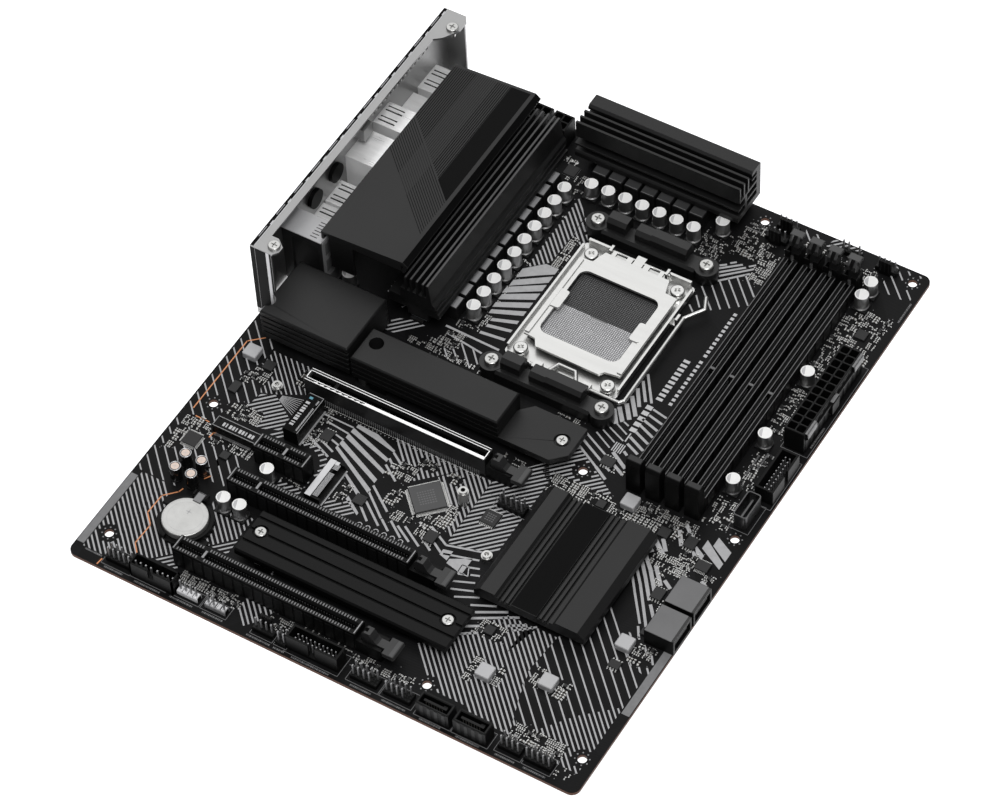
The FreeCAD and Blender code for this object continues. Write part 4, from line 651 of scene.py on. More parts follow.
def add_stripes():
    """The printed pattern: zones of stripes, single strokes and tapering bars."""
    ink = Shape()
    for zone, direction, pitch, width, offset in STRIPE_ZONES:
        stripes(ink, zone, direction, pitch, width - INK_SHRINK, offset)
    for x0, y0, x1, y1, width in STROKES:
        ink.stroke(x0, y0, x1, y1, width)
    for x0, low0, high0, x1, low1, high1 in BARS:
        ink.prism([(x0, low0), (x1, low1), (x1, high1), (x0, high0)])
    for k in range(9):
        # thin rays that open from one point beside the wireless-card slot
        ink.stroke(33.5, 113.0 - 0.3 * k, 43.4, 115.6 - 1.2 * k, 0.26)
        # short radial dashes round the end of the short slot
        angle = math.radians(118 - 16 * k)
        x, y = 59.0 + 10.4 * math.cos(angle), 86.4 + 10.0 * math.sin(angle)
        ink.stroke(*polar(x, y, -1.5, 48), *polar(x, y, 1.5, 48), 0.8)
    ink.print_box(0.3, 7, 3.8, 47.5, 1)
    ink.print_box(240, 43, 243.6, 78.5, 1)
    ink.make("print_stripes", ["silkscreen_ink", "silkscreen_edge"], "board_laminate")


# printed frames round the connectors
FRAMES = [
    (15.6, 2.4, 29.8, 11.4), (30.2, 2.6, 47.6, 9), (49, 3.2, 63.4, 9.4), (64, 3.2, 76.6, 9.4),
    (88.6, 2.8, 99.4, 9.4), (100.2, 2.8, 106.2, 9), (105.6, 2, 131.4, 13),
    (134.8, 2.6, 150.2, 10.6), (150.8, 2.6, 166, 10.6), (167.6, 1.8, 184.8, 10),
    (185.2, 1.8, 202.2, 10), (204.6, 2.8, 216.8, 11), (217.4, 2.8, 230.4, 11),
    (234.6, 161, 243, 188.6), (231.8, 145.4, 241, 161.4), (230.6, 192.6, 243.2, 247.2),
    (141.6, 107, 157.6, 113), (73.6, 279.4, 79.6, 285.4), (141, 96.9, 148.1, 104.1),
]
# where the real board has lettering, rows of short ticks: x, y and the end of the row
TICK_ROWS = [
    (18, 1.4, 27), (33, 1.3, 45), (50, 2.0, 61), (66, 2.0, 76), (88, 1.5, 99), (101, 1.4, 106),
    (110, 1.0, 128), (138, 1.3, 148), (153, 1.3, 164), (171, 1.0, 181), (188, 1.0, 199),
    (206, 1.5, 215), (219, 1.5, 229), (6, 5.2, 14), (160.0, 294.6, 170.0), (160.5, 291.8, 168.5),
]
TICK_COLUMNS = [(242.3, 166, 184), (242.0, 198, 210), (242.2, 276, 288), (226.6, 160, 168),
                (225.2, 172, 184), (228.0, 176, 187), (222.2, 236, 244), (217.9, 144, 156)]
TICK_HALF, TICK_GAP = 0.4, 0.3


def ticks(shape, x, y, end, upright):
    """A row or a column of ticks of mixed lengths, from x, y to the end."""
    cursor = y if upright else x
    while cursor < end:
        tick = random.choice((0.2, 0.35, 0.55))
        if upright:
            shape.print_box(x - TICK_HALF, cursor, x + TICK_HALF, cursor + tick, 1)
        else:
            shape.print_box(cursor, y - TICK_HALF, cursor + tick, y + TICK_HALF, 1)
        cursor += tick + TICK_GAP


def add_white_print():
    """Frames round the connectors, and ticks, bars and dots in place of lettering."""
    white = Shape()
    for corners in FRAMES:
        white.path(rectangle(*corners), 0.2, mark=1)
    random.seed(11)
    for row in TICK_ROWS:
        ticks(white, *row, upright=False)
    for column in TICK_COLUMNS:
        ticks(white, *column, upright=True)
    # three plain bars of two widths stand where the maker's lettering runs beside the sockets
    for x, y0, y1, wide in ((174.0, 189.0, 214.0, 3.0), (179.4, 189.0, 216.0, 1.6),
                            (179.4, 219.0, 246.5, 1.6)):
        for y in steps(y0, y1, 2.6):
            white.print_box(x - wide / 2, y, x + wide / 2, y + 1.5)
    for k in range(5):
        white.print_box(171.0, 169.0 + 3.4 * k, 174.0, 171.2 + 3.4 * k)
        white.print_box(169.6 + 1.0 * k, 156.2, 170.1 + 1.0 * k, 161.2)
    for x in (189.1, 198.2, 207.4, 216.6):
        white.dot(x, 208.2, 0.8)
    white.path([(172.6, 168), (172.6, 163)], 0.6)
    white.path([(146.4, 74.6), (149.4, 74.9), (151.4, 70.7), (146.6, 70.6), (146.4, 74.6)], 0.4)
    for k in range(6):
        # small open arcs printed beside the second long slot
        white.path([polar(98.4 + 3.9 * k, 71.4 + 0.14 * k, 1.1, a) for a in range(-40, 181, 44)], 0.35)
    white.make("print_white", ["silkscreen_white", "silkscreen_edge"], "board_laminate")


def add_trace_strip():
    """The orange line of the audio part, with round corners."""
    orange = Shape()
    top = INK_HIGH + 0.01
    for route in ([(4.0, 89.0), (4.0, 131.0), (10.0, 136.4)],
                  [(7.2, 86.0), (14.2, 86.0)], [(18.6, 79.0), (18.9, 82.0), (20.0, 82.4)],
                  [(24.2, 51.0), (23.4, 48.6), (18.4, 43.6), (18.1, 33.2), (22.8, 28.4),
                   (22.4, 17.6), (26.2, 13.4)],
                  [(14.6, 0.8), (15.0, 4.2)], [(29.0, 59.6), (30.6, 62.2)]):
        orange.path(route, 0.55, INK_LOW, top)
        for x, y in route[1:-1]:
            orange.dot(x, y, 0.28, INK_LOW, top)
    orange.make("trace_strip", ["trace_orange"], "board_laminate")


def hole_stars():
    """Points of the ring of eight vias round each mounting hole, where they are on the board."""
    spots = [polar(x, y, 3.0, 45 * k + 22.5) for x, y in HOLES for k in range(8)]
    return [(x, y) for x, y in spots if x < 243 and 1 < y < 304]


def add_solder_pads():
    """Via rings round the mounting holes, and rows of soldered contacts."""
    pads = Shape()
    for x, y in hole_stars():
        pads.turned(x, y, [(0.36, 0.0), (0.33, 0.05), (0.14, 0.05), (0.12, 0.02)], 10, mark=1)
    for x, y in ((71.1, 288.2), (73.6, 288.0), (76.1, 287.9), (79.0, 281.1)):
        pads.turned(x, y, [(0.75, 0.0), (0.7, 0.06), (0.3, 0.08)], 16)
    # rows of soldered contacts along the slots
    for k in range(83):
        pads.turned(48.4 + 1.0 * k, 117.2, [(0.33, 0.0), (0.28, 0.12), (0.1, 0.16)], 8)
    for k in range(40):
        pads.turned(48.9 + 2.0 * k, 116.2, [(0.28, 0.0), (0.22, 0.08)], 8)
    for x in [46.4 + 2.05 * k for k in range(5)] + [58.6 + 2.1 * k for k in range(4)]:
        pads.turned(x, 17.6, [(0.5, 0.0), (0.45, 0.1), (0.2, 0.2)], 10)
    pads.make("solder_pads", ["tin_plate", "via_ring"], "contact_gold", smooth=True)


# ------------------------------------------------------------------ small parts
def tree_of(nodes):
    """A tree of the CAD nodes' faces, for rays cast down on the board."""
    points, faces = [], []
    for node in nodes:
        base = len(points)
        points.extend([v.co.copy() for v in node.data.vertices])
        faces.extend([[base + i for i in p.vertices] for p in node.data.polygons])
    return BVHTree.FromPolygons(points, faces)


BOARD_TREE = tree_of([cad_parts["pcb"]])
# everything that stands on the board
STANDING_TREE = tree_of([node for name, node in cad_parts.items()
                         if name not in ("pcb", "socket_backplate")])
DOWN = Vector((0, 0, -1))
RAY_TOP, RAY_LENGTH = 80.0, 0.0805


def open_board(x, y):
    """True where nothing stands over this point of the board and there is no hole."""
    top = at(x, y, RAY_TOP)
    if STANDING_TREE.ray_cast(top, DOWN, RAY_LENGTH)[0] is not None:
        return False
    return BOARD_TREE.ray_cast(top, DOWN, RAY_LENGTH)[0] is not None


def is_clear(x, y, reach):
    """True where the board is open at a point and a reach away from it on four sides."""
    spots = ((0, 0), (reach, 0), (-reach, 0), (0, reach), (0, -reach))
    return all(open_board(x + u, y + v) for u, v in spots)


# length, width, height and terminal length, then its pitch in a rank and the room it needs
PARTS = {
    "tiny": (1.0, 0.5, 0.35, 0.25, 1.75, 0.95, 0.75),
    "small": (1.6, 0.8, 0.5, 0.35, 2.5, 1.35, 1.05),
}


def small_part(shape, x, y, kind, turn, mark):
    """A chip resistor or capacitor: body, two terminals and the solder at their ends."""
    length, width, height, end = PARTS[kind][:4]
    shape.pad(x, y, length / 2 - end, width / 2 - 0.02, 0.0, height - 0.03, mark, turn=turn)
    for side in (-1, 1):
        terminal = polar(x, y, side * (length / 2 - end / 2), turn)
        shape.pad(*terminal, end / 2, width / 2, 0.0, height, turn=turn)
        solder = polar(x, y, side * (length / 2 + 0.12), turn)
        shape.pad(*solder, 0.2, width / 2, 0.0, 0.06, turn=turn)


def tiny_chip(shape, x, y, turn):
    """Six-legged black package."""
    shape.pad(x, y, 0.75, 0.7, 0.0, 0.9, 1, edge=0.12, turn=turn)
    for side in (-1, 1):
        for across in (-0.55, 0.0, 0.55):
            shape.pad(*swing(x, y, side * 0.98, across, turn), 0.26, 0.15, 0.0, 0.2, turn=turn)


def part_group(shape, x0, y0, width, depth, fill):
    """One neighbourhood of small parts: a tidy rank, or a loose mix round a tiny chip."""
    turn = random.choice((0, 90))
    body = random.choice((1, 2, 2))
    if random.random() < 0.3:
        cx, cy = x0 + width * random.uniform(0.35, 0.65), y0 + depth * random.uniform(0.35, 0.65)
        if is_clear(cx, cy, 1.3):
            tiny_chip(shape, cx, cy, turn)
        ring = ((-1.9, 0.3), (1.95, -0.4), (0.2, 1.75), (-0.3, -1.8), (1.8, 1.5), (-1.8, -1.5))
        for u, v in ring:
            if random.random() < fill and is_clear(cx + u, cy + v, 0.7):
                small_part(shape, cx + u, cy + v, "tiny", random.choice((0, 90)), body)
        return
    kind = random.choice(("tiny", "tiny", "small"))
    along, across, room = PARTS[kind][4:]
    step_x, step_y = (along, across) if turn == 0 else (across, along)
    for y in steps(y0 + step_y / 2, y0 + depth, step_y):
        for x in steps(x0 + step_x / 2, x0 + width, step_x):
            if random.random() < fill:
                px = x + random.uniform(-0.12, 0.12)
                py = y + random.uniform(-0.08, 0.08)
                if is_clear(px, py, room):
                    small_part(shape, px, py, kind, turn, body)


def add_small_parts():
    """Groups of small surface parts in every cluster, one object for each half of the board."""
    random.seed(5)
    halves = {"rear": Shape(), "front": Shape()}
    board_middle, cell = 122, 4.4
    for x0, y0, x1, y1, density in CLUSTERS:
        shape = halves["rear" if x0 < board_middle else "front"]
        columns, rows = max(1, round((x1 - x0) / cell)), max(1, round((y1 - y0) / cell))
        width, depth = (x1 - x0) / columns, (y1 - y0) / rows
        for i in range(columns):
            for j in range(rows):
                gap = random.uniform(0.1, 0.7)
                part_group(shape, x0 + width * i + gap / 2, y0 + depth * j + gap / 2, width - gap,
                           depth - gap, min(0.88, density / 3.6))
        # plated through holes round the group
        for _ in range(int((x1 - x0) * (y1 - y0) / 9)):
            px, py = random.uniform(x0 - 2, x1 + 2), random.uniform(y0 - 2, y1 + 2)
            if open_board(px, py):
                shape.turned(px, py, [(0.22, 0.0), (0.2, 0.04)], 6, mark=3)
    for half, shape in halves.items():
        shape.make("surface_parts_" + half, ["tin_plate", "passive_dark", "passive_grey", "via_ring"],
                   "chip_epoxy")


CONTROLLER = (116.2, 96.6)


def leads(shape, x, y, width, depth, turn, pitch, sides, reach=1.0, blade=0.28):
    """Bent chip leads: foot, riser and shoulder."""
    half, run = (width / 2, depth) if sides == 4 else (depth / 2, width)
    count = int((run - 1.0) / pitch) + 1
    for side in range(sides):
        angle = turn + (90 * side if sides == 4 else 90 + 180 * side)
        for k in range(count):
            across = (k - (count - 1) / 2) * pitch
            for u0, u1, z0, z1 in ((half + 0.45 * reach, half + reach, 0.0, 0.16),
                                   (half + 0.3 * reach, half + 0.5 * reach, 0.0, 0.62),
                                   (half - 0.05, half + 0.4 * reach, 0.48, 0.62)):
                middle = swing(x, y, (u0 + u1) / 2, across, angle)
                shape.pad(*middle, (u1 - u0) / 2, blade / 2, z0, z1, turn=angle)


def add_chip_leads():
    shape = Shape()
    leads(shape, *CONTROLLER, 14.0, 14.0, 45, 0.5, 4, 1.3, 0.3)
    leads(shape, 144.5, 100.5, 7.2, 7.2, 0, 0.8, 2, 0.9, 0.4)
    leads(shape, 13.0, 74.5, 7.0, 7.0, 0, 0.5, 4, 1.0, 0.24)
    for x, y, width, depth in ((224.0, 101.0, 5.0, 6.0), (223.0, 130.0, 5.0, 6.0),
                               (62.0, 104.0, 5.0, 6.0), (128.0, 80.0, 5.0, 6.2),
                               (226.0, 62.0, 5.0, 4.0), (172.0, 150.0, 6.0, 5.0)):
        leads(shape, x, y, width, depth, 0, 1.27, 2, 1.0, 0.42)
    leads(shape, 233.0, 122.0, 6.0, 5.0, 0, 0.65, 2, 1.0, 0.3)
    shape.make("chip_leads", ["tin_plate"], "contact_gold")


def add_chip_marks():
    """A plain face and generic print bars on the two larger chips."""
    marks = Shape()
    marks.pad(*CONTROLLER, 6.7, 6.7, 1.4, 1.41, 1, turn=45)
    for row in range(6):
        for k in range(7):
            spot = swing(*CONTROLLER, 1.1 * k - 3.6, 1.25 * row - 3.2, 45)
            marks.pad(*spot, 0.35, 0.3, 1.41, 1.425, turn=45)
    for row in range(4):
        for k in range(4):
            x, y = 142.4 + 1.1 * k, 98.6 + 1.1 * row
            marks.block(x, y, 1.1, x + 0.7, y + 0.5, 1.115)
    marks.make("chip_marks", ["chip_print", "chip_face"], "chip_epoxy")


# ------------------------------------------------------------------ capacitors and chokes
CANS = [(82.3, 190.0 + 8.53 * k) for k in range(10)]
CANS += [(91.6 + 8.55 * k, 274.3) for k in range(7)]
CANS += [(152.3, 283.5), (224.4, 284.3), (224.4, 276.1), (224.3, 227.8), (224.6, 190.0),
         (224.6, 162.6), (45.3, 50.6), (53.3, 50.6), (53.0, 72.0), (26.0, 179.0)]
CAN_R, CAN_H = 3.15, 8.6


def add_polymer_cans():
    """Solid capacitors: an aluminium can, its top painted light as a highlight, with a printed segment on
    a moulded base.
    """
    printed, base = 2, 3
    r, top = CAN_R, CAN_H
    profile = [(r - 0.25, 1.0), (r + 0.12, 1.12), (r + 0.12, 1.3), (r - 0.32, 1.75),
               (r - 0.32, 2.0), (r, 2.35), (r, top - 0.28), (r - 0.1, top - 0.08),
               (r - 0.35, top), (r - 0.55, top - 0.06), (0.02, top - 0.06)]
    # the top of the can takes a pale matte colour of its own: a painted highlight
    marks = [0] * 7 + [1] * 4
    shape = Shape()
    for x, y in CANS:
        shape.turned(x, y, profile, 32, marks)
        # moulded base with two cut corners
        h, cut = r + 0.15, 1.1
        shape.prism([(x - h, y - h), (x + h, y - h), (x + h, y + h - cut), (x + h - cut, y + h),
                     (x - h + cut, y + h), (x - h, y + h - cut)], 0.0, 0.95, base)
        # printed segment on the top
        segment = [polar(x, y, 2.55, 200 + a) for a in range(-64, 65, 8)]
        shape.prism(segment, top - 0.06, top - 0.03, printed)
    piece = shape.make("capacitor_cans", ["capacitor_can", "can_lid_highlight", "can_mark", "can_base"],
                       "capacitor_can", smooth=True)
    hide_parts("polymer_capacitors")


def add_audio_cans():
    """Four sleeved capacitors with a bright rim and a scored top."""
    shape = Shape()
    r, top = 2.65, 9.0
    profile = [(r - 0.2, 0.0), (r - 0.05, 0.7), (r, 1.2), (r - 0.25, 1.6), (r, 2.0), (r, top - 0.5),
               (r - 0.12, top - 0.1), (r - 0.35, top), (r - 0.5, top - 0.1), (r * 0.68, top - 0.1),
               (0.02, top - 0.1)]
    marks = [0, 0, 0, 0, 0, 0, 2, 2, 0, 1, 1]
    for x in (19.0, 27.0):
        for y in (54.0, 62.0):
            shape.turned(x, y, profile, 28, marks)
            for turn in (20, 110):
                shape.pad(x, y, 1.4, 0.07, top - 0.1, top - 0.07, 3, turn=turn)
    piece = shape.make("audio_cans", ["audio_capacitor", "audio_top", "light_metal", "can_mark"],
                       "audio_capacitor", smooth=True)
    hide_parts("audio_capacitors")


def add_chokes():
    """Moulded power chokes, bright on top along the rear and dark along the top edge: painted light and
    painted shade on the tops of one kind of choke.
    """
    ferrite, foot, edge_line = 0, 2, 3
    shape = Shape()
    half, height = 3.525, 7.9
    # one kind of choke with two painted top tones: painted light along the rear, painted shade along the
    # top edge
    painted_lit_top, painted_shaded_top = 1, 4
    spots = [(73.3, 188.2 + 8.16 * k, painted_lit_top) for k in range(11)]
    spots += [(91.4 + 8.12 * k, 284.4, painted_shaded_top) for k in range(7)]
    for x, y, top in spots:
        shape.block(x - half, y - half, 0.5, x + half, y + half, height, ferrite, 0.35, top=top)
        shape.pad(x, y, half - 0.25, half - 0.25, 0.0, 0.5, foot)
        shape.block(x - half + 0.5, y - half + 0.3, height, x + half - 0.5, y - half + 0.55,
                    height + 0.03, edge_line)
    piece = shape.make("choke_blocks", ["choke_ferrite", "choke_lit_top_paint", "passive_dark", "choke_edge",
                                        "choke_shaded_top_paint"], "choke_ferrite", bevel=0.12)
    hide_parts("power_chokes")


# ------------------------------------------------------------------ slots and connectors
def middles(names, axis):
    """The middle of each CAD node's box along one axis, 0 for x and 1 for y."""
    return [(span(name)[axis] + span(name)[axis + 3]) / 2 for name in names]


LONG_SLOTS = ["pcie_x16_slot_%d" % k for k in (1, 2, 3)]
SLOT_Y = middles(LONG_SLOTS, 1)
SHORT_SLOT_Y = middles(["pcie_x1_slot"], 1)[0]
SLOT_X0, SHORT_Y0, _, SHORT_END, SHORT_Y1, SLOT_H = span("pcie_x1_slot")
SLOT_HALF, SHORT_LENGTH = (SHORT_Y1 - SHORT_Y0) / 2, SHORT_END - SLOT_X0
# the card groove is this long, and its key stands this far along it
SLOT_LENGTH = 89.0
KEY_X = SLOT_X0 + 13.9
COMB_PITCH = 1.3


def add_slot_combs():
    """Fine moulded ribs beside the card groove, painted a lighter grey as a highlight, and panels down
    the walls of each slot.
    """
    comb, ridge, blade, rim = range(4)
    shape = Shape()
    low, half = SLOT_H - 0.02, SLOT_HALF
    for y, length in ((SLOT_Y[1], SLOT_LENGTH), (SLOT_Y[2], SLOT_LENGTH), (SHORT_SLOT_Y, SHORT_LENGTH)):
        end = SLOT_X0 + length
        for k in range(int((length - 4.0) / COMB_PITCH)):
            x = SLOT_X0 + 2.4 + COMB_PITCH * k
            if abs(x - KEY_X) < 1.2:
                continue
            for side in (-1, 1):
                # the ribs are the slot's black plastic, painted a lighter grey as a highlight
                y0, y1 = beside(y, side, 2.05, half - 0.45)
                shape.block(x - 0.28, y0, low, x + 0.28, y1, SLOT_H + 0.14, comb)
                # contact blades inside the groove
                y0, y1 = beside(y, side, 0.55, 0.9)
                shape.block(x - 0.2, y0, 4.0, x + 0.2, y1, 9.4, blade)
        for side in (-1, 1):
            y0, y1 = beside(y, side, half - 0.3, half)
            shape.block(SLOT_X0 + 0.2, y0, low, end - 0.2, y1, SLOT_H + 0.1, ridge)
            y0, y1 = beside(y, side, half - 0.02, half + 0.22)
            for x in steps(SLOT_X0 + 1.0, end - 4.0, 4.9):
                shape.block(x, y0, 0.6, x + 3.9, y1, SLOT_H - 1.4, ridge)
        shape.pad(KEY_X, y, 0.5, 1.9, low, SLOT_H + 0.12, rim)
        for x in (SLOT_X0 + 0.4, end - 1.0):
            shape.block(x, y - 3.4, low, x + 0.5, y + 3.4, SLOT_H + 0.1, rim)
    shape.make("slot_combs", ["pale_grey_and_rib_highlight", "plastic_ridge", "contact_blade", "moulded_rim"],
               "black_plastic")


def add_slot_shell():
    """Bright folds and edge lines on the steel shell of the first slot."""
    leg = 1
    steel = Shape()
    y, top = SLOT_Y[0], SLOT_H + 0.33
    x0, x1 = SLOT_X0 - 0.1, SLOT_X0 + SLOT_LENGTH - 0.6
    for side in (-1, 1):
        for offset, half in ((3.2, 0.14), (2.0, 0.16)):
            line = y + side * offset
            steel.block(x0, line - half, top, x1, line + half, top + 0.08)
    for x in (x0, x1 - 0.4):
        steel.block(x, y - 2.1, top, x + 0.4, y + 2.1, top + 0.08)
    steel.block(72.0, y - 3.1, top, x1, y - 2.15, top + 0.1)
    # folded louvres along the front edge
    for k in range(9):
        x = 47.0 + 3.0 * k
        steel.stroke(x, y - 3.15, x + 1.7, y - 2.75, 0.5, top, top + 0.12)
    # soldered legs at the foot of the shell
    for k in range(85):
        x = 44.0 + 1.0 * k
        steel.block(x, y - 3.6, 0.0, x + 0.35, y - 3.38, 2.6, leg)
    steel.make("slot_shell_folds", ["port_shell", "pale_grey_and_rib_highlight"], "port_shell")


DIMM_X = middles(["dimm_slot_%d" % k for k in (1, 2, 3, 4)], 0)
_, DIMM_Y0, _, _, DIMM_Y1, TOWER_TOP = span("dimm_slot_1")
DIMM_H, DIMM_KEY_Y = 8.5, DIMM_Y0 + 67.9
LATCH_TOP = span("dimm_latch_1")[5]


def add_dimm_details():
    """Fine raised lines, contact rows and the key block along each memory slot; the lines and the key are
    painted lighter as highlights.
    """
    ridge, line, blade, tower, dark = range(5)
    low, high, top = DIMM_Y0 + 6.2, DIMM_Y1 - 7.6, DIMM_H - 0.02
    for index, x in enumerate(DIMM_X):
        shape = Shape()
        for side in (-1, 1):
            inner, outer = beside(x, side, 0.9, 3.3)
            shape.block(inner, low, top, outer, high, DIMM_H + 0.05, dark)
            # the raised lines take a lighter grey: painted highlights on their tops
            for offset in (3.1, 1.2):
                middle = x + side * offset
                shape.block(middle - 0.15, low, DIMM_H, middle + 0.15, high, DIMM_H + 0.2, line)
            for y in steps(low + 0.8, high - 0.6, 0.85):
                if abs(y - DIMM_KEY_Y) > 1.6:
                    shape.pad(x + side * 0.72, y, 0.14, 0.17, 3.0, 7.4, blade)
            wall = x + side * 3.28
            shape.block(wall - 0.1, low, 1.0, wall + 0.1, high, 1.6, ridge)
            wall = x + side * 3.25
            for k in range(18):
                y = low + 2.0 + 7.2 * k
                shape.block(wall - 0.1, y, 1.6, wall + 0.1, y + 5.4, 7.4, ridge)
        # the key block is painted lighter as a highlight too
        shape.pad(x, DIMM_KEY_Y, 1.2, 0.6, top, DIMM_H + 0.3, line, edge=0.1)
        shape.block(x - 3.1, DIMM_Y0 + 1.4, TOWER_TOP - 0.02,
                    x + 3.1, DIMM_Y0 + 3.9, TOWER_TOP + 0.1, tower, edge=0.05)
        shape.make("memory_rails_%d" % (index + 1), ["plastic_ridge", "memory_ridge_highlight", "contact_blade",
                                                     "tower_face", "strip_black"], "black_plastic")


def add_latch_highlights():
    """Upper faces of the memory and card latches, painted lighter as highlights; each piece rides on its
    latch.
    """
    faces = [("memory", "dimm", k, (x - 2.7, 282.9, LATCH_TOP - 0.04, x + 2.7, 286.1, LATCH_TOP + 0.08))
             for k, x in enumerate(DIMM_X, 1)]
    faces += [("card", "pcie", k, (147.4, y - 4.1, 8.18, 149.2, y + 4.1, 8.3))
              for k, y in enumerate(SLOT_Y, 1)]
    for word, body, k, corners in faces:
        shape = Shape()
        # a lighter sheet on each latch top: a painted highlight
        shape.block(*corners, edge=0.04)
        shape.make("%s_latch_face_%d" % (word, k), ["latch_face"], "black_plastic",
                   body="%s_latch_%d" % (body, k))


# double-row and single-row pin headers: middle, columns, rows
PIN_HEADERS = [(23.0, 7.0, 5, 2), (103.4, 5.6, 2, 2), (142.4, 6.6, 5, 2), (158.2, 6.6, 5, 2),
               (210.6, 7.0, 4, 2), (223.6, 7.0, 5, 2), (149.6, 110.0, 5, 2), (207.0, 299.8, 4, 1)]
# fan headers: middle, and the side of the rear wall
FAN_HEADERS = [(35.4, 5.8, -1), (46.2, 5.8, -1), (94.0, 6.0, 1), (176.4, 299.4, -1),
               (224.6, 299.4, -1), (174.8, 291.6, -1)]


def add_header_collars():
    """Bases of the lighting headers and the corner posts round every header pin."""
    black = 2
    shape = Shape()
    for middle, mark in ((57.0, 0), (70.6, 1)):
        for x, _ in grid(middle, 6.2, 4, 1):
            shape.block(x - 1.22, 4.6, 0.0, x + 1.22, 7.8, 2.5, mark, edge=0.3)
            for dx in (-0.75, 0.75):
                shape.block(x + dx - 0.3, 4.9, 2.5, x + dx + 0.3, 7.5, 2.75, mark, edge=0.1)
    for header in PIN_HEADERS:
        for x, y in grid(*header):
            for u, v in rectangle(-0.8, -0.8, 0.8, 0.8)[:4]:
                shape.pad(x + u, y + v, 0.4, 0.4, 2.25, 2.6, black, edge=0.1)
    shape.make("header_collars", ["white_plastic", "light_metal", "plastic_ridge"], "black_plastic")


def add_fan_header_ribs():
    """Rear walls of the fan headers, and one shroud."""
    rib, wall_black = range(2)
    shape = Shape()
    for x, y, side in FAN_HEADERS:
        for dx in (-1.9, 0, 1.9):
            shape.pad(x + dx, y + side * 2.2, 0.3, 0.68, 2.3, 8.5, rib, edge=0.1)
        shape.block(x - 4.9, y - 1.5, 2.28, x + 4.9, y + 1.3, 2.42, rib, edge=0.1)
    # one open shroud with a key gap stands round the two headers beside the coin cell
    x0, y0, x1, y1, top, wall = 30.2, 2.8, 51.4, 8.9, 8.9, 0.8
    gap0, gap1 = 39.4, 42.2
    for a, b, c, d in ((x0, y0, gap0, y0 + wall), (gap1, y0, x1, y0 + wall), (x0, y1 - wall, x1, y1),
                       (x0, y0, x0 + wall, y1), (x1 - wall, y0, x1, y1)):
        shape.block(a, b, 0.0, c, d, top, wall_black, edge=0.1)
    shape.block(gap0, y0, 0.0, gap1, y0 + wall, top / 2, wall_black)
    shape.make("fan_header_ribs", ["plastic_ridge", "black_plastic"], "black_plastic")


CELL = 4.2


def add_power_inlet_rims():
    """Rims between the cells of the board power inlet, and the ribs of its outer wall."""
    ridge = 1
    shape = Shape()
    x0, y0, _, _, y1, top = span("atx_power_connector")
    low, inlet_y = top - 0.02, y0 + 0.5
    for j in range(13):
        y = inlet_y + CELL * j
        shape.block(x0 + 0.6, y - 0.22, low, x0 + 8.8, y + 0.22, top + 0.1, ridge, edge=0.04)
    for i in range(3):
        x = x0 + 0.5 + CELL * i
        shape.block(x - 0.2, inlet_y, low, x + 0.2, y1 - 0.5, top + 0.1, ridge, edge=0.04)
    # pale ends of the outer rail
    for y in (y0 + 1.0, y1 - 9.2):
        shape.block(240.95, y, low, 241.9, y + 8.2, top + 0.1)
        shape.block(241.9, y + 0.2, 9.6, 242.45, y + 8.0, 12.4)
    for k in range(12):
        y = y0 + 1.4 + CELL * k
        shape.block(241.0, y, 1.0, 241.16, y + 2.2, 11.8, ridge)
    shape.block(241.0, 216.4, 10.4, 242.5, 221.6, 10.75, edge=0.1)
    shape.make("power_inlet_rims", ["pale_grey_and_rib_highlight", "plastic_ridge"], "black_plastic")


def add_drive_faces():
    """Pale covers of the two drive connectors on the front edge, dark rims of the upright pair."""
    cover, gloss, gold, ridge = range(4)
    shape = Shape()
    contact = 1.27
    for y in (77.6, 94.2):
        shape.block(230.8, y + 0.2, 8.56, 243.2, y + 14.8, 8.72, cover, edge=0.1)
        shape.block(243.2, y + 0.4, 7.2, 244.36, y + 14.6, 8.7, gloss)
        for k in range(7):
            shape.block(241.8, y + 3.2 + contact * k, 5.0, 243.5, y + 3.6 + contact * k, 5.1, gold)
    for x in (168.6, 186.0):
        shape.path(rectangle(x + 0.6, 3.0, x + 14.8, 8.4), 0.5, 8.38, 8.52, ridge)
        shape.block(x + 2.4, 5.05, 7.78, x + 13.0, 6.15, 7.9, ridge)
        for k in range(7):
            shape.block(x + 3.4 + contact * k, 4.94, 3.0, x + 3.8 + contact * k, 5.02, 7.4, gold)
        for k in range(4):
            shape.block(x + 2.0 + 3.4 * k, 2.28, 1.0, x + 3.6 + 3.4 * k, 2.42, 7.8, ridge)
    shape.make("drive_connector_faces", ["drive_cover", "gloss_black", "contact_gold", "plastic_ridge"],
               "black_plastic")


LABEL_TICKS = (1.0, 0.6, 1.2)


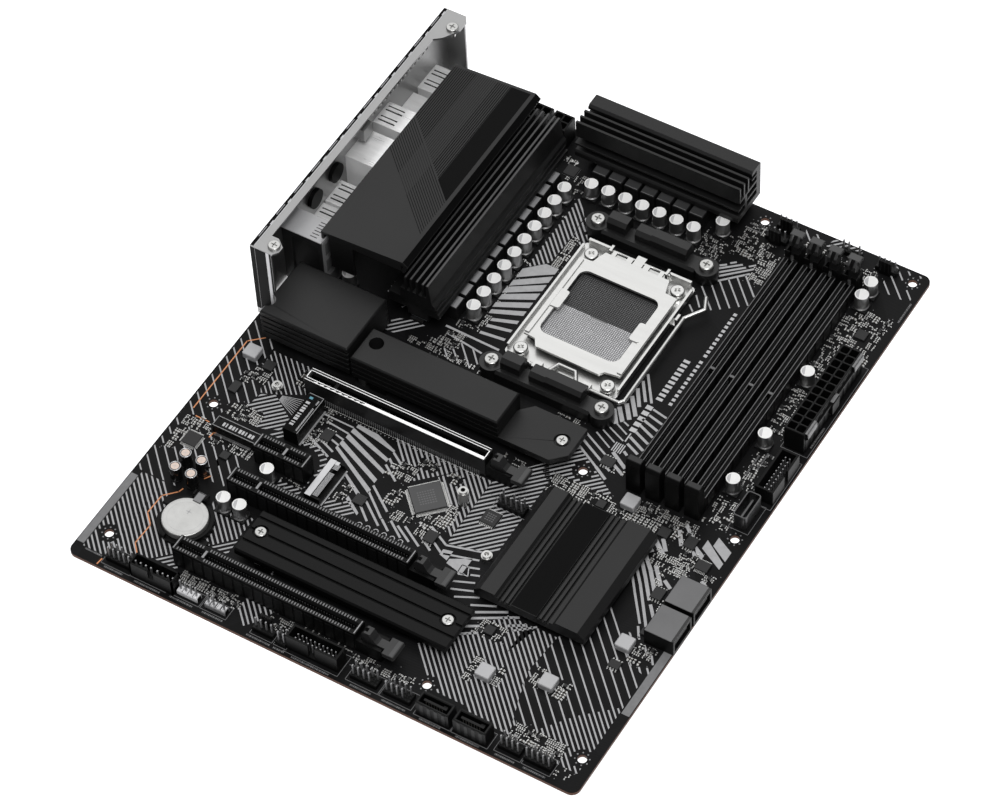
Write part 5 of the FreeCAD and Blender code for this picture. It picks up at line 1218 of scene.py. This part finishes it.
def add_m2_details():
    """Contact rows and anchor bars of the card sockets: two low pale ones, one tall black one."""
    contact, dark, rim, blue, white = 1, 2, 3, 4, 5
    shape = Shape()
    for x0, y0, x1, y1, h in ((46.8, 93.6, 54.0, 115.0, 8.2), (71.5, 71.0, 79.0, 92.5, 4.2),
                              (72.6, 31.2, 80.4, 53.0, 3.2)):
        tall = h > 8
        count = int((y1 - y0 - 3.0) / 0.5)
        c0, c1 = (x1 - 1.6, x1 - 0.9) if tall else (x0 + 3.4, x1 - 1.6)
        for k in range(count):
            y = y0 + 1.6 + 0.5 * k
            if abs(k - count * 0.78) >= 2:
                shape.block(c0, y - 0.14, h - 0.3, c1, y + 0.14, h + 0.03, contact)
        shape.block(x1 - 0.1, y0 + 0.4, 0.0, x1 + 0.7, y1 - 0.4, 0.5)
        if not tall:
            shape.block(x0 + 0.1, y0 + 0.2, h - 0.02, x0 + 3.0, y1 - 0.2, h + 0.06, edge=0.03)
            shape.block(x0 + 3.1, y1 - 2.2, h - 0.02, x0 + 4.9, y1 - 0.4, h + 0.1, edge=0.04)
            continue
        shape.block(x0 + 0.2, y0 + 0.2, h - 0.02, x1 - 2.0, y1 - 0.2, h + 0.05, dark)
        shape.path([(x1 - 0.1, y0 + 0.1), (x1 - 0.1, y1 - 0.1), (x0 + 0.1, y1 - 0.1)], 0.3,
                   h, h + 0.1, rim)
        shape.block(x0 + 1.4, y1 - 2.8, h + 0.04, x0 + 3.0, y1 - 1.6, h + 0.1, blue)
        for k in range(9):
            y = y0 + 3.0 + 1.6 * k
            shape.block(x0 + 1.3, y, h + 0.04, x0 + 3.2, y + LABEL_TICKS[k % 3], h + 0.08, white)
    # the wireless-card slot lies flat: its contacts and its label
    for k in range(36):
        x = 19.6 + 0.5 * k
        shape.block(x, 82.8, 0.0, x + 0.24, 83.6, 0.35, contact)
        shape.block(x, 81.2, 0.0, x + 0.24, 82.6, 0.12, contact)
    shape.path(rectangle(18.2, 83.0, 39.4, 88.2), 0.3, 4.18, 4.32, rim)
    for k in range(10):
        x = 22.0 + 1.6 * k
        shape.block(x, 84.4, 4.18, x + LABEL_TICKS[k % 3], 86.4, 4.26, white)
    shape.make("card_socket_contacts", ["light_metal", "socket_contact", "strip_black", "moulded_rim",
                                        "label_blue", "silkscreen_white"], "contact_gold")


# ------------------------------------------------------------------ processor socket
SOCKET = (middles(["socket_housing"], 0)[0], middles(["socket_housing"], 1)[0])
TRAY_Z = span("socket_contacts")[5]


def add_socket_contacts():
    """The field of spring contacts: each one a small stub, light with painted light on the near half and
    dark with painted shade on the far half.
    """
    light, dark = range(2)
    pitch, half = 0.94, 19.4
    shape = Shape()
    count = int(2 * half / pitch)
    for i in range(count):
        for j in range(count):
            x = SOCKET[0] - half + pitch * (i + 0.5)
            y = SOCKET[1] - half + pitch * (j + 0.5)
            if abs(x - SOCKET[0]) < 4.2 and abs(y - SOCKET[1]) < 0.6:
                continue
            # painted light and shade: the near half of the field lit, the far half dark
            tone = 1 if y > SOCKET[1] + 0.6 else 0
            shape.pad(x, y, 0.26, 0.26, TRAY_Z - 0.02, TRAY_Z + 0.5, tone, edge=0.1)
    shape.make("socket_pins", ["socket_pin_painted_lit", "socket_pin_painted_shade"], "contact_gold")

    # the tray under the contacts is split the same way, painted light near and painted shade far
    tray = Shape()
    x, y, reach, split = *SOCKET, 20.1, SOCKET[1] + 0.4
    tray.block(x - reach, y - reach, TRAY_Z, x + reach, split, TRAY_Z + 0.04, light)
    tray.block(x - reach, split, TRAY_Z, x + reach, y + reach, TRAY_Z + 0.04, dark)
    tray.make("socket_land_tray", ["tray_painted_lit", "tray_painted_shade"], "socket_plastic")


# ------------------------------------------------------------------ covers and heat sinks
COVER_X0, COVER_Y0, _, COVER_X1, COVER_Y1, COVER_TOP = span("rear_io_cover")
# height at the rear edge, and where the top plane ends and the bevel starts
COVER_LOW, COVER_RIDGE_X = 38.0, 59.2


def cover_height(x):
    """Top plane of the rear cover at a distance from the rear edge."""
    return COVER_LOW + (COVER_TOP - COVER_LOW) * (x - COVER_X0) / (COVER_RIDGE_X - COVER_X0)


def tilted_strip(shape, points, mark=0, lift=0.03):
    """Thin slab on the cover's sloping top, over a convex outline."""
    if area(points) < 0:
        points = points[::-1]
    shape.rings([[(x, y, cover_height(x) + z) for x, y in points] for z in (-0.02, lift)], mark)


def add_cover_details():
    """Fine grooves in the cover's top: a slanting band, lines along it, a gloss strip, and painted shade
    on the bevel beside the fins.
    """
    gloss = 1
    shape = Shape()
    x0, x1, y1, strip_x = 18.5, 57.3, 282.0, 47.5
    faint0, faint1, wide, thin = 30.0, 40.0, 0.42, 0.2

    def slanted(x, top):
        return top - 0.965 * (x - x0)

    band_top = 247.5
    for k in range(14):
        top = band_top - 1.5 * k
        for a, b, width in ((x0, faint0, wide), (faint0, faint1, thin), (faint1, x1, wide)):
            ya, yb = slanted(a, top), slanted(b, top)
            tilted_strip(shape, [(a, ya), (b, yb), (b, yb - width), (a, ya - width)])
    for x in steps(x0, strip_x - 0.6, 1.05):
        width = thin if faint0 < x < faint1 else wide
        start = slanted(x, band_top + 1.2)
        tilted_strip(shape, [(x, start), (x + width, start), (x + width, y1), (x, y1)])
    tilted_strip(shape, [(strip_x, slanted(strip_x, band_top + 1.0)),
                         (x1, slanted(x1, band_top + 1.0)), (x1, y1), (strip_x, y1)], 1, 0.04)
    # the bevel beside the fins stays in shadow: a dark sheet paints that shade
    a, b, c, d = COVER_RIDGE_X + 0.1, COVER_Y0 + 0.4, COVER_X1 - 0.1, COVER_Y1 - 0.4
    shape.rings([[(a, b, high), (c, b, low), (c, d, low), (a, d, high)]
                 for high, low in ((COVER_TOP, 38.78), (COVER_TOP + 0.03, 38.83))], gloss)
    shape.make("cover_engraving", ["engraved_line", "strip_black"], "black_aluminium")


def add_heatsink_details():
    """Painted shade on the sunk field of the chipset heat sink and painted highlights on the fin tops of
    the rear one.
    """
    painted_fin_highlight = 1
    shape = Shape()
    _, y0, _, _, y1, _ = span("chipset_heatsink")
    # a dark sheet paints shade on the sunk middle field, so that it is darker than the two shoulders
    shape.block(177.2, y0 + 0.2, 7.58, 189.1, y1 - 0.2, 7.62)
    # painted highlights on the tops of the rear heat sink's fins
    _, y0, _, _, y1, _ = span("vrm_heatsink_rear")
    for x in (59.2, 61.9, 64.9, 67.9, 70.1):
        shape.block(x + 0.2, y0 + 0.3, 31.28, x + 0.95, y1 - 0.3, 31.36, painted_fin_highlight)
    shape.make("heatsink_shade_and_highlight", ["strip_black", "fin_top_highlight"], "black_aluminium")


# ------------------------------------------------------------------ rear ports
# where each stack starts and ends along the rear edge
USB_1, USB_2, USB_TALL, USB_3 = (188.0, 202.4), (203.8, 217.2), (244.2, 257.8), (280.4, 296.2)
NETWORK, VIDEO = [(span(name)[1], span(name)[4]) for name in ("lan_usb_stack", "video_port")]
JACK_Y = middles(["audio_jack_stack"], 1)[0]
JACK_RISE, NARROW = 10.6, 18


def add_port_contacts():
    """Tongues and contacts inside the rear ports."""
    gold, tongue, steel = range(3)
    shape = Shape()
    for (y0, y1), levels, rise in ((USB_1, 2, 7.9), (USB_2, 2, 7.9), (USB_TALL, 3, 9.3), (USB_3, 2, 7.9)):
        for level in range(levels):
            z = 1.1 + rise * level
            for k in range(4):
                y = y0 + 3.0 + (y1 - y0 - 6.0) * k / 3
                shape.block(-1.6, y - 0.5, z + 3.0, 6.0, y + 0.5, z + 3.08, gold)
            shape.block(-2.4, y0 + 1.5, z + 3.05, -2.0, y1 - 1.5, z + 4.85, tongue)
            for y in (y0 + 3.6, y1 - 3.6):
                shape.block(-2.55, y - 0.7, z + 0.04, 2.0, y + 0.7, z + 0.5, steel)
    for k in range(8):
        y = 226.4 + 1.02 * k
        shape.block(-1.8, y - 0.2, 22.6, 8.0, y + 0.2, 23.5, gold)
    shape.make("port_contacts", ["contact_gold", "port_tongue", "port_shell"], "contact_gold")


def add_jack_rings():
    """Coloured rings round the mouths of the three audio jacks."""
    rings = Shape()
    count, inner, outer = 28, 1.95, 3.1
    for level in range(3):
        z = 6.0 + JACK_RISE * level
        for k in range(count):
            a0, a1 = 360 * k / count, 360 * (k + 1) / count
            quad = [polar(JACK_Y, z, radius, angle)
                    for radius, angle in ((inner, a0), (outer, a0), (outer, a1), (inner, a1))]
            rings.rings([[(x, u, v) for u, v in quad] for x in (-2.98, -3.12)], level)
    rings.make("jack_rings", ["jack_ring_0", "jack_ring_1", "jack_ring_2"], "jack_plastic")


def add_port_backs():
    """What shows of the port stacks from the board side: lids, fingers, slits and legs."""
    cover, panel, steel, gap, lid = range(5)
    back = Shape()
    # metal lid and moulded back covers of the audio stack
    back.block(-0.9, 169.7, 33.0, 19.5, 182.4, 33.35, lid, edge=0.1)
    back.block(18.9, 171.0, 32.0, 19.8, 181.0, 33.5, lid)
    for k in range(6):
        back.block(13.0, 171.4 + 1.7 * k, 33.35, 16.4, 171.8 + 1.7 * k, 33.42, gap)
    back.block(19.38, 170.4, 0.4, 19.9, 181.8, 32.4, cover)
    for level in range(3):
        z = 2.4 + JACK_RISE * level
        back.block(19.88, 172.0, z, 20.1, 180.2, z + 7.2, panel)
    for (y0, y1), top, depth in ((USB_1, 16.0, 14.6), (USB_2, 16.0, 14.6), (NETWORK, 28.0, 19.6),
                                 (USB_TALL, 28.1, 17.6), (USB_3, 16.0, 14.6)):
        for y in (y0 + 0.8, y1 - 1.1):
            back.block(1.0, y, top - 0.02, depth - 1.0, y + 0.3, top + 0.12, steel)
        # spring fingers that press on the rear plate, each between two slits
        fingers = (-3.2, 3.2) if y1 - y0 < NARROW else ()
        for shift in fingers:
            finger = (y0 + y1) / 2 + shift
            back.block(1.0, finger - 0.7, top - 0.02, 7.6, finger + 0.7, top + 0.3, steel)
            for slit in (finger - 1.15, finger + 1.15):
                back.block(0.0, slit - 0.34, top - 0.02, 8.4, slit + 0.34, top + 0.05, gap)
        for k in range(int((y1 - y0) / 2.0)):
            y = y0 + 1.4 + 2.0 * k
            back.block(depth - 0.02, y - 0.25, 0.0, depth + 0.5, y + 0.25, 2.2, steel)
    back.make("port_backs", ["jack_back", "jack_panel", "port_shell", "gloss_black", "jack_lid"],
              "port_shell")


def add_shield_edges():
    """Dark outer lip, light fold lines that are painted highlights, and the recessed end panel of the
    rear plate.
    """
    dark, light, rim = range(3)
    shape = Shape()
    x0, y0, _, _, y1, top = span("io_shield")
    shape.block(x0, y0 + 0.4, top - 0.01, x0 + 1.7, y1 - 0.4, top + 0.03, dark)
    shape.block(x0 + 1.7, y0 + 0.4, top - 0.01, x0 + 1.95, y1 - 0.4, top + 0.04, light)
    # spring tongues pressed out of the lip catch the light: painted highlights
    for y in steps(y0 + 6.0, y1 - 12.0, 14.0):
        shape.block(x0 + 0.5, y, top + 0.02, x0 + 0.95, y + 6.5, top + 0.05, rim)
        shape.block(x0 + 1.2, y + 8.0, top + 0.02, x0 + 1.6, y + 10.5, top + 0.05, light)
    # the two end walls, each with a dark panel between light folds that are painted highlights
    for wall, out in ((y0, -1), (y1, 1)):
        w0, w1 = beside(wall, out, 0, 0.06)
        for a, b, mark in ((0, 2.3, dark), (2.3, 2.5, rim), (2.5, 7.9, dark), (7.9, 9.5, light),
                           (9.5, 10.4, dark)):
            shape.block(x0 + a, w0, 1.4, x0 + b, w1, top - 0.6, mark)
    shape.make("rear_plate_edges", ["strip_black", "light_metal", "moulded_rim"], "shield_steel")


# ------------------------------------------------------------------ battery
def add_battery_details():
    """Rings and plus sign on the coin cell, and the spring that holds it."""
    steel, plastic = range(2)
    x0, y0, _, x1, y1, top = span("battery")
    x, y, low, count = (x0 + x1) / 2, (y0 + y1) / 2, top - 0.01, 48
    shape = Shape()
    for radius, width in ((9.2, 0.12), (7.6, 0.1)):
        for k in range(count):
            start, end = (polar(x, y, radius, 360 * turn / count) for turn in (k, k + 0.8))
            shape.stroke(*start, *end, width, low, top + 0.02)
    # plus sign, the one generic mark of a cell's upper face
    shape.pad(x, y + 3.0, 1.3, 0.15, low, top + 0.03)
    shape.pad(x, y + 3.0, 0.15, 1.3, low, top + 0.03)
    shape.make("cell_embossing", ["cell_mark"], "battery_steel", body="battery_cell")

    spring = Shape()
    spring.block(x - 1.8, y + 8.6, 4.95, x + 1.8, y + 13.2, 5.45, steel, edge=0.1)
    spring.block(x - 1.8, y + 12.6, 0.0, x + 1.8, y + 13.6, 5.3, steel)
    for side in (x - 3.0, x + 3.0):
        spring.block(side - 0.5, y + 11.0, 4.0, side + 0.5, y + 13.8, 6.0, plastic, edge=0.15)
    spring.make("cell_clip", ["clip_steel", "black_plastic"], "port_shell")


# ------------------------------------------------------------------ underside
BACK = -1.6
INLET_PIN, PORT_LEG = 0.95, 1.1


def soldered_pins():
    """Where pins come through the board: x, y and the radius of the joint."""
    spots = []
    for x in DIMM_X:
        spots += [(x + side, 150.0 + 1.75 * k, 0.42) for k in range(72) for side in (-1.6, 1.6)]
    for y, count in [(y, 42) for y in SLOT_Y] + [(SHORT_SLOT_Y, 12)]:
        spots += [(45.0 + 2.0 * k, y + side, 0.42) for k in range(count) for side in (-1.8, 1.8)]
    for x, y, columns, rows in ((234.2, 196.2, 2, 12), (42.0, 294.2, 4, 2), (61.0, 294.2, 2, 2)):
        spots += [(x + CELL * i, y + CELL * j, INLET_PIN) for i in range(columns) for j in range(rows)]
    single_rows = ((57.0, 6.2), (70.6, 6.2), (35.4, 5.4), (46.2, 5.4), (94.0, 6.0), (176.4, 299.4),
                   (224.6, 299.4), (207.0, 299.8))
    fields = PIN_HEADERS[:-1] + [(x, y, 4, 1) for x, y in single_rows]
    fields += [(118.4, 7.2, 10, 2, 2.0), (238.6, 175.0, 2, 10, 2.0)]
    for field in fields:
        spots += [(x, y, 0.7) for x, y in grid(*field)]
    spots += [(x, y, 0.8) for y in (172.0, JACK_Y, 180.2) for x in (3.0, 8.0, 13.0)]
    for y0, y1 in (USB_1, USB_2, NETWORK, USB_TALL, VIDEO, USB_3):
        for k in range(6):
            spots.append((10.6, y0 + 2.0 + (y1 - y0 - 4.0) * k / 5, 0.55))
            spots.append((13.0, y0 + 3.0 + (y1 - y0 - 6.0) * k / 5, 0.55))
        spots += [(x, y, PORT_LEG) for x in (2.0, 9.0) for y in (y0 + 0.6, y1 - 0.6)]
    return [(x, y, radius) for x, y, radius in spots if 1.5 < x < 242.5 and 1.5 < y < 303.5]


def add_solder_joints():
    joints = Shape()
    for x, y, radius in soldered_pins():
        joints.turned(x, y, [(0.18, BACK - 0.9), (0.3, BACK - 0.75), (radius * 0.55, BACK - 0.35),
                             (radius, BACK - 0.02), (radius, BACK + 0.02)], 10)
    joints.make("solder_joints", ["solder"], "contact_gold", smooth=True)


def add_underside_print():
    """Stripes and via rings on the back of the board."""
    ink = Shape()
    near, far, low_y, high_y = 12, 230, 60.0, 150.0
    for k in range(46):
        # broad slanted field of stripes on the plain middle of the back, at 45 degrees
        sum_xy = 30.0 + 5.6 * k
        ax, ay, bx, by = sum_xy - low_y, low_y, sum_xy - high_y, high_y
        if bx < near:
            bx, by = near, ay + ax - near
        if ax > far:
            ax, ay = far, ay + (ax - far) / (ax - bx)
        if ax - bx > 4:
            ink.stroke(ax, ay, bx, by, 0.7, BACK - 0.03, BACK)
    for x, y in hole_stars():
        ink.dot(x, y, 0.5, BACK - 0.05, BACK, 10)
    ink.make("print_underside", ["silkscreen_ink"], "board_laminate")


def add_underside_parts():
    """A few small parts on the back of the board."""
    body = 1
    parts = Shape()
    random.seed(23)
    for x0, y0, x1, y1 in ((112, 196, 150, 230), (60, 190, 72, 270), (90, 276, 150, 286),
                           (160, 60, 200, 120), (190, 128, 226, 140), (210, 60, 236, 110)):
        for y in steps(y0, y1, 1.9):
            for x in steps(x0, x1, 2.2):
                under_back_plate = 98 < x < 164 and 163 < y < 264
                if random.random() < 0.35 and not under_back_plate:
                    parts.pad(x, y, 0.5, 0.25, BACK - 0.35, BACK, body)
                    for side in (-0.38, 0.38):
                        parts.pad(x + side, y, 0.13, 0.27, BACK - 0.38, BACK)
    parts.make("underside_parts", ["tin_plate", "passive_grey"], "chip_epoxy")


# ------------------------------------------------------------------ finish of the CAD nodes
# width of the rounded edges, and the nodes that have them
ROUNDED = {
    0.9: ["chipset_heatsink"],
    0.4: ["rear_io_cover"],
    0.3: ["m2_heatsink_rear", "m2_heatsink_upper", "m2_heatsink_lower", "m2_end_plate"],
    0.25: ["power_inductors"],
    0.2: ["cooler_brackets", "atx_power_connector", "cpu_power_connectors", "battery_holder",
          "lan_usb_stack", "usb_stacks", "video_port", "audio_jack_stack", "dimm_latch_1",
          "dimm_latch_2", "dimm_latch_3", "dimm_latch_4", "pcie_latch_1", "pcie_latch_2",
          "pcie_latch_3"],
    0.18: ["vrm_heatsink_rear", "vrm_heatsink_top", "usb3_headers"],
    0.15: ["socket_load_plate", "socket_housing", "sata_connectors", "fan_headers",
           "pcie_x16_slot_1", "pcie_x16_slot_2", "pcie_x16_slot_3", "pcie_x1_slot", "dimm_slot_1",
           "dimm_slot_2", "dimm_slot_3", "dimm_slot_4"],
    0.12: ["socket_frame", "io_shield", "m2_sockets"],
    0.1: ["pin_headers"],
    0.06: ["ic_packages"],
}
# nodes that differ from the rest of their CAD material
SPECIAL = {
    "power_inductors": "inductor_top", "cooler_brackets": "bracket_plastic",
    "m2_heatsink_lower": "lower_cover", "pcie_steel_shell": "slot_shell_dark",
    "usb_c_header": "header_shell", "header_pins": "pin_tin", "socket_contacts": "contact_base",
}


def finish_nodes():
    """Materials and rounded edges of the CAD nodes, which keep their own mesh and place."""
    for name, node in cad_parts.items():
        special = "latch_plastic" if "latch" in name else SPECIAL.get(name)
        for slot in node.material_slots:
            look = special or slot.material.name.split(".")[0]
            slot.link = "OBJECT"
            slot.material = MATERIALS.get(look, MATERIALS["black_plastic"])
    for width, names in ROUNDED.items():
        for name in names:
            round_edges(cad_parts[name], width)


# ------------------------------------------------------------------ stage
def softbox(name, offset, size, power):
    """A rectangular lamp that looks at the middle of the board."""
    light = bpy.data.lights.new(name, "AREA")
    light.shape = "RECTANGLE"
    light.size, light.size_y = size
    light.energy = power
    lamp = bpy.data.objects.new(name, light)
    lamp.location = at(122, 152) + Vector(offset)
    lamp.rotation_euler = (-Vector(offset)).to_track_quat("-Z", "Y").to_euler()
    bpy.context.scene.collection.objects.link(lamp)


def add_stage():
    """The floor, two lamps and a dim white surround."""
    floor_mesh = bpy.data.meshes.new("floor")
    reach, drop = 6.0, CAD_BOUNDS[0][2] - 0.45
    corners = rectangle(-reach, -reach, reach, reach)[:4]
    floor_mesh.from_pydata([(x, y, drop) for x, y in corners], [], [[0, 1, 2, 3]])
    floor = bpy.data.objects.new("floor", floor_mesh)
    bpy.context.scene.collection.objects.link(floor)
    # a light table: pale paper lit a little from below, as behind a cut-out product photograph
    paper = surface("floor_paper", 0.93, 0.8, tone=0.01, grain=0.0, tone_scale=2.0, specular=0.2)
    shader = paper.node_tree.nodes["Principled BSDF"].inputs
    shader["Emission Color"].default_value = (1, 1, 1, 1)
    shader["Emission Strength"].default_value = 0.7
    floor_mesh.materials.append(paper)

    # a broad soft sheet where level surfaces mirror it, and a high lamp for the print
    softbox("sheet_light", (-0.69, 1.04, 1.56), (2.6, 2.2), 21.5)
    softbox("high_lamp", (0.45, -0.55, 1.75), (1.0, 1.0), 22.0)
    world = bpy.data.worlds.new("studio")
    world.use_nodes = True
    sky = world.node_tree.nodes["Background"].inputs
    sky["Color"].default_value = (1, 1, 1, 1)
    sky["Strength"].default_value = 0.2
    bpy.context.scene.world = world
    bpy.context.scene.view_settings.view_transform = "Standard"


def add_camera():
    """The view of the product photograph."""
    data = bpy.data.cameras.new("camera")
    data.lens = 154.15
    data.sensor_width = 36.0
    data.clip_start, data.clip_end = 0.05, 20.0
    camera = bpy.data.objects.new("camera", data)
    camera.location = at(741.25, -783.88, 1417.44)
    forward = Vector((-0.34533, 0.51879, -0.78206))
    level = forward.to_track_quat("-Z", "Y").to_matrix()
    roll = Matrix.Rotation(math.radians(-3.39), 3, "Z")
    camera.rotation_euler = (level @ roll).to_euler()
    bpy.context.scene.collection.objects.link(camera)
    bpy.context.scene.camera = camera


for add in (add_stripes, add_white_print, add_trace_strip, add_solder_pads, add_small_parts,
            add_chip_leads, add_chip_marks, add_polymer_cans, add_audio_cans, add_chokes,
            add_slot_combs, add_slot_shell, add_dimm_details, add_latch_highlights, add_header_collars,
            add_fan_header_ribs, add_power_inlet_rims, add_drive_faces, add_m2_details,
            add_socket_contacts, add_cover_details, add_heatsink_details, add_port_contacts,
            add_jack_rings, add_port_backs, add_shield_edges, add_battery_details,
            add_solder_joints, add_underside_print, add_underside_parts, finish_nodes, add_stage,
            add_camera):
    add()
